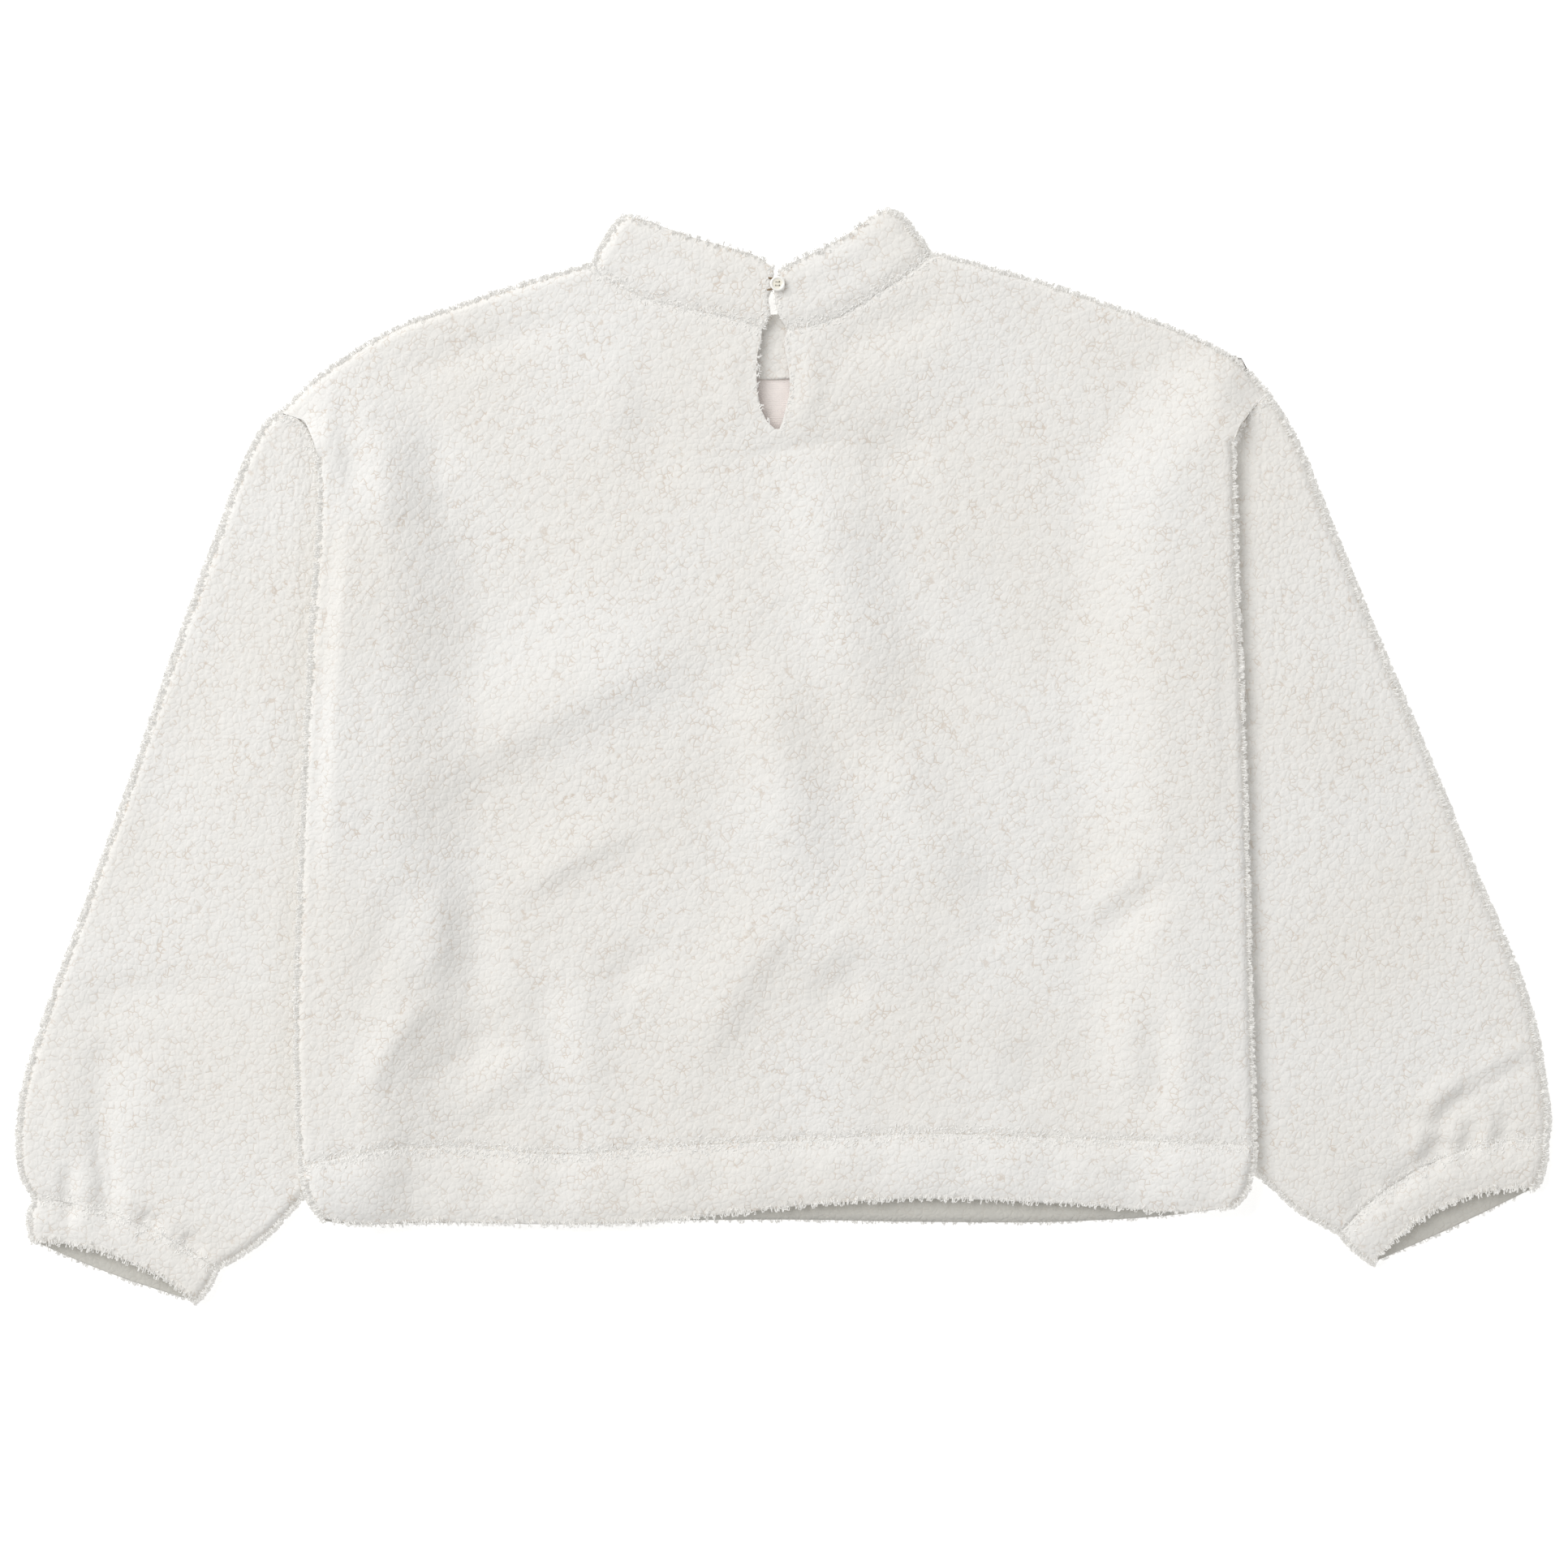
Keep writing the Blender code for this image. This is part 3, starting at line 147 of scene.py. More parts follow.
SLEEVE_LEFT = [
    Section(-322.0, 219.7, -270.4, 151.3),
    Section(-330.6, 212.2, -269.4, 141.0),
    Section(-339.0, 198.1, -267.8, 125.3),
    Section(-359.3, 147.2, -266.2, 83.7),
    Section(-387.4, 70.7, -266.2, 23.9),
    Section(-415.5, -11.4, -266.2, -45.2),
    Section(-445.1, -93.6, -266.2, -119.1),
    Section(-474.8, -175.8, -269.4, -197.1),
    Section(-485.2, -210.1, -278.2, -234.5),
    Section(-489.3, -238.7, -293.8, -264.7),
    Section(-489.3, -255.3, -310.4, -284.4),
    Section(-486.7, -269.9, -333.4, -308.6),
    Section(-478.9, -283.9, -364.0, -328.8),
]
SLEEVE_RIGHT = [
    Section(309.6, 232.6, 260.5, 162.8),
    Section(326.0, 205.4, 257.9, 134.7),
    Section(347.9, 153.4, 257.4, 87.9),
    Section(379.6, 75.9, 257.4, 26.5),
    Section(411.8, 0.5, 259.0, -42.1),
    Section(442.0, -73.8, 261.0, -113.9),
    Section(472.7, -147.2, 264.7, -187.7),
    Section(482.6, -181.5, 274.0, -225.7),
    Section(486.7, -208.5, 292.4, -256.2),
    Section(489.3, -227.2, 313.2, -274.7),
    Section(489.8, -237.6, 334.6, -293.2),
    Section(488.3, -245.4, 357.2, -305.4),
]
CUFF_LEFT = [
    Section(-479.2, -284.5, -364.3, -329.4),
    Section(-483.0, -296.5, -367.6, -338.0),
    Section(-481.0, -311.0, -376.5, -349.6),
]
CUFF_RIGHT = [
    Section(488.5, -246.0, 357.6, -306.0),
    Section(487.4, -263.0, 365.6, -315.6),
    Section(481.6, -277.0, 378.0, -325.0),
]
# The collar's free edge: behind, on each side of the slit, and in front
COLLAR_LEFT_EDGE = [
    Point(-95.6, 344.4), Point(-85.8, 342.0), Point(-75.4, 338.0), Point(-54.6, 330.9),
    Point(-33.8, 325.2), Point(-14.0, 318.2), Point(-6.2, 311.6),
]
COLLAR_RIGHT_EDGE = [
    Point(-2.6, 311.2), Point(6.0, 315.8), Point(18.2, 321.2), Point(28.6, 326.4),
    Point(39.0, 332.6), Point(60.0, 347.6),
]
COLLAR_FRONT_EDGE = [
    Point(-95.6, 344.0), Point(-78.0, 315.1), Point(-54.6, 296.9), Point(-31.2, 286.5),
    Point(-7.3, 282.9), Point(18.2, 287.0), Point(38.0, 299.5), Point(53.0, 318.1),
    Point(60.0, 347.6),
]
COLLAR_CORNERS = (Point(-103.4, 345.4), Point(71.6, 349.8))
# Where each end of the collar meets the slit, on the neck seam
COLLAR_SLIT = (-13.4, 2.8)
SLIT_MIDDLE = -5.0

KEYHOLE = [
    Slit(282.0, -13.0, 3.2),
    Slit(271.0, -13.5, 2.4),
    Slit(263.0, -14.8, 0.6),
    Slit(256.0, -16.7, 1.8),
    Slit(247.0, -17.2, 3.6),
    Slit(234.5, -16.7, 4.4),
    Slit(222.0, -14.4, 1.6),
    Slit(213.5, -10.2, -0.6),
    Slit(209.0, -5.2, -2.4),
]
KEYHOLE_OUTLINE = [(row.left, row.y) for row in KEYHOLE] + [(row.right, row.y) for row in KEYHOLE[::-1]]

# A sleeve's inner edge lies under the body while it is nearer the middle than this, and the
# places where it comes out again
SLEEVE_UNDER = 300.0
SLEEVE_LEAVES_LEFT = Point(-304.0, -277.0)
SLEEVE_LEAVES_RIGHT = Point(303.0, -266.0)
# How far from the shoulder's end the body is sewn to the sleeve and can't rise over it
ARMHOLE_REACH = 38.0
# The gap at the sleeve's seam, as a shift of its first section
SLEEVE_SEAM_DROP = Point(-0.34, -0.66)
# How far from the body's edge a sleeve swells to its full height
SLEEVE_PUFF_REACH = 18.0
# The sleeve is pressed flatter at its seam, over this share of its length
SLEEVE_PRESS = 1.5
SLEEVE_PRESS_FADE = 0.12
# Shares of a sleeve's length: where the armhole's shape has faded, and where the cuff's draw starts
ARMHOLE_BOW_FADE = 0.09
DRAW_FROM = 0.82
# How much higher and deeper the cloth's creases are than their tables say
FOLD_GAIN = 1.3
# The deepest trough of a piece's outer face and of its inner one, and how far from the body's
# edges its folds reach their full height
CREASE_DEEPEST = 3.3
INNER_DEEPEST = 0.5
FOLD_CALM = 20.0
# How deep a sleeve dips at its cuff, and over which share of its length
CUFF_DIP = 1.5
CUFF_DIP_REACH = 0.008
# How deep the pile dips at a seam, and how far from it
SEAM_SINK = 1.0
SEAM_SINK_REACH = 2.6
# How far the panels ride up over the front collar between them, and where: the middle of an
# ellipse, half its width and length, and how many times as far out this has faded
NECK_RAISE = 2.6
NECK_RAISE_AT = Point(-13.0, 312.0)
NECK_RAISE_WIDE = 122.0
NECK_RAISE_LONG = 86.0
NECK_RAISE_FADE = 1.55

# How far each cuff's upper layer is drawn up the arm in its middle
LEFT_CUFF = Draw(9.0, 9.5, 2.6)
RIGHT_CUFF = Draw(16.0, 14.0, 1.0)

CUFF_RINGS = [CuffRing(0.0, 1.7), CuffRing(0.35, 0.0), CuffRing(0.78, 0.35), CuffRing(1.0, 1.9)]
HEM_RINGS = [
    HemRing(0.0, 3.0, 0.0, 0.6), HemRing(0.3, 0.5, 0.0, 0.1), HemRing(0.55, 0.0, 0.0, 0.0),
    HemRing(0.86, 0.6, 0.6, 0.3), HemRing(1.0, 2.3, 2.3, 1.8),
]
COLLAR_RINGS = [
    CollarRing(0.0, 0.3, 0.80), CollarRing(0.2, 0.96, 1.0), CollarRing(0.5, 1.0, 1.0),
    CollarRing(0.86, 0.88, 0.9), CollarRing(1.0, 0.34, 0.34),
]
# How far the collar's pile reaches over its seam
COLLAR_LAP = 0.7
# How far each place up the collar's ends bows over the slit, and how far along this fades
COLLAR_LEFT_BOW = [
    Point(0.0, 1.5), Point(0.27, 3.2), Point(0.5, 0.4), Point(0.72, 1.8), Point(1.0, 0.0),
]
COLLAR_RIGHT_BOW = [
    Point(0.0, 0.0), Point(0.27, -4.6), Point(0.5, -5.4), Point(0.72, -4.6), Point(1.0, 0.0),
]
COLLAR_BOW_FADE = 18.0
# The collar's ends at the slit are this share of its thickness, over the last stretch
COLLAR_END = 0.8
COLLAR_END_REACH = 4.0
# The share of the neckline from its end to where the collar turns over to the other layer, and
# the angles of its stations round that turn, in degrees from level
COLLAR_TURN = 0.032
COLLAR_ANGLES = np.arange(80.0, -81.0, -10.0)
# The height of the doubled collar's upper face
COLLAR_TOP = 2 * COLLAR_WALL + BAND_GAP
# The button loop's way out over the slit, round the shank and back
LOOP_PATH = [
    Point(-10.2, 305.6), Point(-6.0, 305.0), Point(-1.6, 304.2), Point(0.9, 301.6),
    Point(-1.6, 299.0), Point(-6.0, 298.4), Point(-10.2, 297.8),
]

# How far the pile of the hem band and of a cuff reaches over its seam
SEAM_LAP = 0.5
CUFF_LAP = 0.9
# A sleeve's sections stand closer towards the cuff; 1 would space them evenly
SLEEVE_EVEN = 0.55
# The body covers a sleeve's upper layer, which is all above this height, from this far inside
# the body's edge
SLEEVE_COVER_ABOVE = 3.0
SLEEVE_COVER = 6.0
# Shares of a band's width: where its fold starts to round over, how much of the hem's waves its
# seam has, and how much calmer a cuff's gathers are at its mouth
FOLD_FROM = 0.86
HEM_WAVE_AT_SEAM = 0.5
CUFF_SMOOTH = 0.45
# How many of a band's rows round its fold over
FOLD_ROWS = 5

# How far round the keyhole its curls stand
KEYHOLE_FRINGE = 1.3
# Heights between which the keyhole's cutter stands
KEYHOLE_CUT = (2.0, 34.0)
# The button, the dish in its face, its four holes and how far the drill goes past it
BUTTON_AT = Point(-3.6, 301.6)
BUTTON_RADIUS = 4.8
BUTTON_THICK = 2.2
BUTTON_DISH = 0.75
BUTTON_HOLE = 0.6
BUTTON_HOLE_PITCH = 1.15
DRILL_PAST = 1.0
# The thread through the holes, its arch over the dish and how far it comes out below
THREAD_RADIUS = 0.26
THREAD_ARCH = 0.35
THREAD_BELOW = 0.3
# The shank, and how far it goes into the collar and into the button
SHANK_AT = Point(-1.6, 301.6)
SHANK_RADIUS = 1.0
SHANK_IN_COLLAR = 1.0
SHANK_IN_BUTTON = 0.4
# The loop's cord, how many places its path has, and how deep and over how many its ends dip
LOOP_RADIUS = 0.6
LOOP_PLACES = 60
LOOP_END_DIP = 1.6
LOOP_END_PLACES = 6
# The button's profile from the middle of its underside to the middle of its dish: a share of its
# radius, and a height
BUTTON_PROFILE = [
    (0.02, 0.0), (0.70, 0.0), (0.90, 0.15), (0.98, 0.6), (1.0, 1.1), (0.98, 1.7), (0.92, 2.05),
    (0.84, 2.2), (0.74, 2.05), (0.66, 1.7), (0.56, 1.5), (0.40, 1.45), (0.02, 1.45),
]
# The stitches: half a thread's thickness, their length and number, how far above the seam they
# are, how much deeper than the seam's dip their middle is sunk, how far their ends dip, and the
# number of places on each
STITCH_RADIUS = 0.28
STITCH_LENGTH = 2.6
STITCHES = 165
STITCH_LINE_UP = 1.2
STITCH_SUNK = 0.2
STITCH_DIP = 1.1
STITCH_PLACES = 5
# Half the floor's width and its height, which leaves it just clear of the cloth, in metres
FLOOR_HALF = 4.0
FLOOR_LEVEL = -0.0003
# The soft light's place and size, in metres
KEY_AT = (-3.6, 3.0, 4.7)
KEY_SIZE = 5.0
# The camera's aim, and the height on the garment at which its view has the stated width
VIEW_AT = Point(0.5, -18.2)
VIEW_LEVEL = 8.0

# The back panel's creases, main ones first: across the back, down its middle, then the small ones
BACK_CREASES = [
    Crease(-251, -27, -157, 23, -32, 84, 3.8, 26, 13),
    Crease(12, 205, 42, 92, 64, 10, 4.6, 24, 17),
    Crease(58, 175, 83, 75, 106, 0, -2.0, 17, 20),
    Crease(60, 14, 86, -36, 121, -90, 3.2, 14, 17),
    Crease(-22, 74, 0, -4, 14, -90, 4.4, 16, 16),
    Crease(-294, 190, -294, 50, -294, -110, 3.4, 32, 8),
    Crease(272, 150, 272, 40, 273, -100, 0.9, 8, 30),
    Crease(18, -87, -20, -132, -60, -206, 3.0, 10, 18),
    Crease(1, -151, 45, -115, 108, -151, 2.2, 16, 12),
    Crease(108, -151, 137, -180, 148, -223, 1.2, 14, 12),
    Crease(16, -160, 35, -150, 56, -147, -1.7, 11, 11),
    Crease(-177, -91, -136, -66, -87, -43, 2.3, 14, 7),
    Crease(-114, -156, -99, -139, -77, -122, -1.7, 9, 9),
    Crease(-157, -137, -152, -176, -143, -213, -1.8, 8, 8),
    Crease(-134, -140, -127, -176, -120, -223, 1.5, 9, 9),
    Crease(-271, -165, -255, -122, -245, -72, -1.7, 9, 10),
    Crease(-225, -79, -221, -113, -226, -150, 2.5, 8, 9),
    Crease(-205, -72, -195, -119, -200, -165, -1.6, 10, 10),
    Crease(-271, -228, -251, -185, -218, -150, 2.3, 8, 7),
    Crease(-245, -219, -213, -196, -173, -170, -1.5, 8, 9),
    Crease(-218, -234, -177, -206, -143, -183, 1.4, 9, 8),
    Crease(-288, 237, -278, 198, -274, 158, -2.4, 8, 8),
    Crease(-258, 217, -253, 183, -254, 140, 1.9, 9, 8),
    Crease(-226, 217, -223, 176, -213, 135, -1.9, 9, 9),
    Crease(-192, 190, -184, 97, -178, 21, -1.6, 22, 32),
    Crease(-121, 285, -186, 264, -256, 239, -1.3, 7, 7),
    Crease(-90, 232, -83, 198, -77, 164, -1.3, 14, 14),
    Crease(-109, 269, -106, 233, -103, 197, 0.9, 9, 9),
    Crease(18, 253, 59, 272, 118, 287, -1.7, 10, 10),
    Crease(-27, 191, 2, 196, 45, 201, -1.0, 4, 4),
    Crease(46, 188, 72, 193, 98, 198, -1.7, 13, 13),
    Crease(-32, 269, -34, 240, -27, 208, 0.7, 6, 6),
    Crease(16, 272, 18, 240, 9, 206, 1.4, 6, 6),
    Crease(128, -68, 133, -99, 141, -130, -1.6, 12, 12),
    Crease(196, -123, 222, -101, 249, -73, -2.3, 9, 10),
    Crease(186, -106, 209, -90, 233, -67, 1.3, 10, 8),
    Crease(237, -150, 239, -188, 242, -231, -2.4, 8, 8),
    Crease(216, -151, 219, -187, 224, -228, 1.5, 12, 9),
    Crease(257, -142, 259, -180, 260, -223, 1.2, 8, 8),
    Crease(150, -180, 154, -201, 157, -226, -1.2, 12, 12),
    Crease(125, 147, 137, 82, 133, 21, -1.2, 18, 16),
    Crease(167, 111, 173, 71, 166, 25, -0.9, 14, 14),
    Crease(-53, 10, -43, -47, -35, -97, -0.9, 14, 14),
    Crease(-157, 140, -153, 111, -157, 82, -0.8, 12, 12),
    Crease(-71, 54, -100, 111, -114, 161, 0.9, 22, 22),
]
LEFT_CREASES = [
    Crease(-434, -176, -436, -212, -431, -248, -2.2, 9, 9),
    Crease(-462, -168, -416, -151, -358, -155, -1.4, 9, 11),
    Crease(-409, -183, -405, -215, -410, -246, 1.2, 11, 9),
    Crease(-470, -195, -463, -228, -462, -262, 0.9, 7, 7),
    Crease(-458, -259, -457, -283, -457, -309, -2.6, 3, 4),
    Crease(-447, -262, -446, -285, -445, -306, 1.3, 5, 5),
    Crease(-440, -228, -434, -265, -431, -301, -3.0, 6, 5),
    Crease(-420, -272, -418, -294, -416, -313, 1.0, 6, 5),
    Crease(-412, -291, -405, -299, -397, -295, -2.4, 4, 4),
    Crease(-394, -290, -392, -305, -391, -322, 0.9, 5, 5),
    Crease(-385, -306, -378, -313, -374, -322, -2.2, 4, 5),
    Crease(-330, 90, -336, 20, -350, -60, 0.8, 16, 16),
    Crease(-372, 60, -395, -20, -415, -100, -0.7, 14, 12),
]
RIGHT_CREASES = [
    Crease(482, -182, 458, -196, 442, -206, 1.3, 7, 6),
    Crease(484, -193, 459, -205, 441, -215, -1.4, 5, 6),
    Crease(444, -204, 420, -219, 410, -236, 2.0, 6, 7),
    Crease(446, -212, 424, -228, 417, -243, -2.3, 6, 5),
    Crease(418, -240, 417, -254, 405, -266, -2.3, 6, 5),
    Crease(410, -233, 408, -246, 397, -258, 1.6, 6, 6),
    Crease(404, -264, 396, -274, 384, -284, -1.8, 5, 5),
    Crease(441, -230, 440, -243, 437, -258, -2.0, 5, 5),
    Crease(428, -236, 429, -250, 425, -264, 1.1, 5, 5),
    Crease(463, -226, 462, -240, 460, -254, -1.6, 4, 5),
    Crease(451, -228, 451, -241, 449, -256, 0.9, 4, 4),
    Crease(378, -280, 370, -289, 366, -299, -1.5, 5, 5),
    Crease(364, -262, 371, -274, 377, -283, -1.0, 6, 6),
    Crease(330, 100, 340, 20, 360, -70, 0.8, 16, 16),
    Crease(395, 30, 410, -40, 436, -110, -0.6, 14, 14),
]
# Small waves along the hem band, uneven as the stitches draw it in: place, rise and reach
Ripple = namedtuple("Ripple", "x rise reach")
HEM_RIPPLES = [
    Ripple(-282, -1.2, 8), Ripple(-258, 0.9, 9), Ripple(-238, -1.3, 7), Ripple(-214, 0.8, 10),
    Ripple(-190, -1.4, 8), Ripple(-168, 0.9, 9), Ripple(-147, -1.2, 8), Ripple(-120, 0.8, 11),
    Ripple(-96, -1.0, 8), Ripple(-70, 0.9, 12), Ripple(-44, -1.1, 9), Ripple(-18, 0.7, 10),
    Ripple(8, -0.9, 9), Ripple(36, 0.8, 12), Ripple(62, -1.0, 8), Ripple(92, 0.7, 11),
    Ripple(118, -0.9, 9), Ripple(146, 0.8, 12), Ripple(172, -1.1, 9), Ripple(200, 0.8, 10),
    Ripple(226, -1.2, 8), Ripple(252, 0.9, 9), Ripple(276, -1.0, 7),
]
# How far above the hem's seam these waves have faded in the back panel to about a third
RIPPLE_FADE = 14.0
# Across a crease its height is left out beyond this many times its reach. Along it, it fades in
# and out over this share of its length, from this share of its rise
CREASE_FAR = 3.2
CREASE_FADE = 0.35
CREASE_END = 0.15

# What belongs to each side: the sign that turns it into the left one, its armhole, where its
# sleeve comes out from under the body, its sections, its cuff's draw and its creases
Arm = namedtuple("Arm", "sign armhole leaves sleeve cuff draw creases")
ARMS = {
    "left": Arm(
        1.0, ARMHOLE_LEFT, SLEEVE_LEAVES_LEFT, SLEEVE_LEFT, CUFF_LEFT, LEFT_CUFF, LEFT_CREASES,
    ),
    "right": Arm(
        -1.0, ARMHOLE_RIGHT, SLEEVE_LEAVES_RIGHT, SLEEVE_RIGHT, CUFF_RIGHT, RIGHT_CUFF, RIGHT_CREASES,
    ),
}

# The body's usual width and length, which space the rows of its grids at the edges
BODY_ACROSS = 610.0
BODY_ALONG = 480.0
# The neckline's ends as shares of the grids' way across, and the armhole's points as shares of
# their way along
NECK_FROM, NECK_TO = 0.315, 0.658
ARMHOLE_STOPS = (0.91, 0.935, 0.965, 1.0)
# Where points stand on a panel's quarter circle and on a tube's, in degrees
EDGE_ANGLES = (0.0, 16.0, 32.0, 47.0, 62.0, 76.0, 90.0)
ROUND_ANGLES = (18.0, 36.0, 54.0, 72.0, 90.0)
# How many points a crease, a side edge and a shoulder have, and those that find the slit
CREASE_POINTS = 9
SIDE_POINTS = 13
SHOULDER_POINTS = 17
NECK_POINTS = 801
# The step that tells which way an edge lies, and how little a cut's line may face that way before
# a shift along it grows no more
PROBE = 0.2
LEAST_FACING = 0.6
# Each piece's grid: columns across it or across a tube's upper layer, rows along it, columns across
# a tube's lower layer, and every how many lines its inner face has one
Grid = namedtuple("Grid", "across along under skip")
BACK_GRID = Grid(290, 268, 0, 6)
FRONT_GRID = Grid(150, 140, 0, 4)
SLEEVE_GRID = Grid(108, 236, 40, 6)
CUFF_GRID = Grid(70, 26, 40, 3)
HEM_GRID = Grid(290, 28, 150, 4)
COLLAR_GRID = Grid(60, 28, 0, 1)

# The pile's relief, of curls and of the clumps that they form: the cells' size, the height from
# hollow to top, the cell value that is fully raised, the share of the height that is below the
# cloth's face, its share in the painted shade between curls, and the number that mixes its seeds
Relief = namedtuple("Relief", "size depth full below gap salt")
RELIEFS = (Relief(4.8, 0.32, 0.45, 0.62, 0.7, 11), Relief(13.0, 0.22, 0.6, 0.55, 0.3, 47))
# The relief of a hidden face only goes into the cloth
HIDDEN_SINK = 0.9
# How deep a curl's ends are sunk into the cloth, and the size of those that lie on it and of
# those that stand out at its edges, as shares of the usual size
CURL_SUNK = 0.25
CurlScale = namedtuple("CurlScale", "length height radius")
SEAM_CURL = CurlScale(1.0, 0.4, 0.9)
RIM_CURL = CurlScale(0.8, 3.2, 0.85)
# How far single curls differ from these, as shares, and how far they swing, as a share of length
CURL_LENGTHS = (0.6, 1.3)
CURL_HEIGHTS = (0.4, 1.2)
CURL_RADII = (0.7, 1.2)
CURL_SWING = 0.35
# A curl's thickness at its ends, what its middle adds, its places and the sides of its rings
CURL_TIP = 0.55
CURL_BELLY = 0.45
CURL_PLACES = 4
CURL_SIDES = 3
# The seeds of the first piece's curls; each further piece adds one
SEAM_SEED = 40
RIM_SEED = 60
# Cloth is a rim where its normal's upright share is under the second of these, and fully so
# under the first
RIM_FACING = (0.45, 0.8)
# The bands whose inner faces get painted shade, all doubled pieces, how far from their fold curls
# stand thickly, and how these lean outwards
BANDS = ("cuff_left", "cuff_right", "hem_band")
FOLDED = (*BANDS, "collar")
FOLD_FRINGE = 1.8
FOLD_LEAN = 1.6
# A face lies on the floor under the first height, and is clear of it over the second
FLOOR_TOUCH = (0.6, 3.0)
# Curls stand at rims above the first height; at seams they stand, and creases get painted shade,
# above the second
RIM_ABOVE = 0.3
CURLS_ABOVE = 1.2
# The share of a rim's curls that is left near the floor, and the heights over which it grows
LOW_FRINGE = 0.3
LOW_FRINGE_RISE = (1.0, 4.0)
# A loose curl's darkest and palest colour as shares of the pile's, and the strength of its painted
# glow, which keeps its shaded sides pale
CURL_BASE = (0.6, 0.8)
CURL_PAINTED_GLOW = 0.27
# Painted shade: how much of it the pile gets between curls, and on rims where the cloth turns over
GAP_SHADE = 0.6
RIM_SHADE = 0.55
# The depths of a crease between which its pile gets painted shade
CREASE_PAINTED_SHADE = (1.6, 6.0)


def ease(value, low, high):
    """0 below low, 1 above high and a smooth step between them."""
    t = np.clip((np.asarray(value, float) - low) / (high - low), 0.0, 1.0)
    return t * t * (3.0 - 2.0 * t)


def nearness(distance, reach):
    """1 at no distance, falling like a bell over its reach."""
    return np.exp(-0.5 * (distance / reach) ** 2)


def unit(vectors):
    """Vectors with a length of 1; one that is nearly nothing stays short."""
    return vectors / np.maximum(np.linalg.norm(vectors, axis=-1, keepdims=True), 1e-9)


def hermite(p, slope, knot, s):
    """A cubic through the points p at the knots with the given slopes, read at s."""
    k = np.clip(np.searchsorted(knot, s, side="right") - 1, 0, len(knot) - 2)
    h = knot[k + 1] - knot[k]
    t = (s - knot[k]) / h
    if p.ndim > 1:
        h, t = h[:, None], t[:, None]
    return (
        p[k] * (1 + 2 * t) * (1 - t) ** 2 + slope[k] * h * t * (1 - t) ** 2
        + p[k + 1] * t * t * (3 - 2 * t) + slope[k + 1] * h * t * t * (t - 1)
    )


def smooth_curve(points, stops):
    """Points of a Catmull-Rom curve through a short list, at the given fractions of its length."""
    p = np.array(points, float)
    reach = np.linalg.norm(np.diff(p[:, :2], axis=0), axis=1)
    knot = np.concatenate([[0.0], np.cumsum(reach)]) / reach.sum()
    return hermite(p, np.gradient(p, knot, axis=0), knot, np.clip(np.asarray(stops, float), 0.0, 1.0))


def value_at(x, points):
    """The second column of a short table at the given values of its first, joined smoothly."""
    p = np.array(points, float)
    x = np.clip(np.asarray(x, float), p[0, 0], p[-1, 0])
    slope = np.gradient(p[:, 1], p[:, 0])
    return hermite(p[:, 1], slope, p[:, 0], x.ravel()).reshape(x.shape)


def off_stretch(x, y, start, end):
    """How far each place is from a straight stretch, and at which fraction it is nearest."""
    (ax, ay), (bx, by) = start, end
    dx, dy = bx - ax, by - ay
    t = np.clip(((x - ax) * dx + (y - ay) * dy) / (dx * dx + dy * dy), 0.0, 1.0)
    return np.hypot(x - ax - t * dx, y - ay - t * dy), t


def path_distance(x, y, path):
    """Shortest distance from each place to a run of straight stretches."""
    best = np.full(np.shape(x), np.inf)
    for start, end in zip(path[:-1], path[1:]):
        best = np.minimum(best, off_stretch(x, y, start, end)[0])
    return best


def inside(x, y, outline):
    """True where a place lies inside a closed outline, by counting the edges to its right."""
    hit = np.zeros(np.shape(x), bool)
    for (ax, ay), (bx, by) in zip(outline, outline[1:] + outline[:1]):
        crosses = (ay > y) != (by > y)
        rise = by - ay if by != ay else 1e-9
        hit ^= crosses & (x < ax + (y - ay) * (bx - ax) / rise)
    return hit


def crease_rise(x, y, creases):
    """Height of all the creases at a place.

    A crease follows a smooth line through its three places. Across it the height is a bell whose
    width differs on the two sides; along it the height fades in and out over its end thirds.
    """
    total = np.zeros(np.shape(x))
    stops = np.linspace(0.0, 1.0, CREASE_POINTS)
    for crease in creases:
        far = CREASE_FAR * max(crease.left, crease.right)
        path = smooth_curve([crease[0:2], crease[2:4], crease[4:6]], stops)
        low, high = path.min(axis=0) - far, path.max(axis=0) + far
        near = (x > low[0]) & (x < high[0]) & (y > low[1]) & (y < high[1])
        if not near.any():
            continue
        px, py = np.asarray(x)[near], np.asarray(y)[near]
        best = np.full(px.shape, np.inf)
        place, side = np.zeros(px.shape), np.zeros(px.shape)
        for k, (start, end) in enumerate(zip(path[:-1], path[1:])):
            d, t = off_stretch(px, py, start, end)
            to_left = (end[0] - start[0]) * (py - start[1]) - (end[1] - start[1]) * (px - start[0])
            closer = d < best
            best = np.where(closer, d, best)
            place = np.where(closer, (k + t) / (len(stops) - 1), place)
            side = np.where(closer, to_left, side)
        reach = np.where(side > 0, crease.left, crease.right)
        fade = ease(place, 0.0, CREASE_FADE) * (1.0 - ease(place, 1.0 - CREASE_FADE, 1.0))
        fade = fade * (1.0 - CREASE_END) + CREASE_END
        total[near] += FOLD_GAIN * crease.rise * fade * nearness(best, reach)
    return total


def side_x(y, side):
    """The body's left or right edge at a height on the garment."""
    top = ARMS[side].armhole[0]
    return value_at(y, [(row.y, getattr(row, side)) for row in SIDES] + [(top.y, top.x)])


def side_outline(side):
    """The body's side edge from the hem seam to where the sleeve's seam comes out, as points."""
    heights = np.linspace(SIDES[0].y, ARMS[side].armhole[0].y, SIDE_POINTS)
    return list(zip(side_x(heights, side), heights))


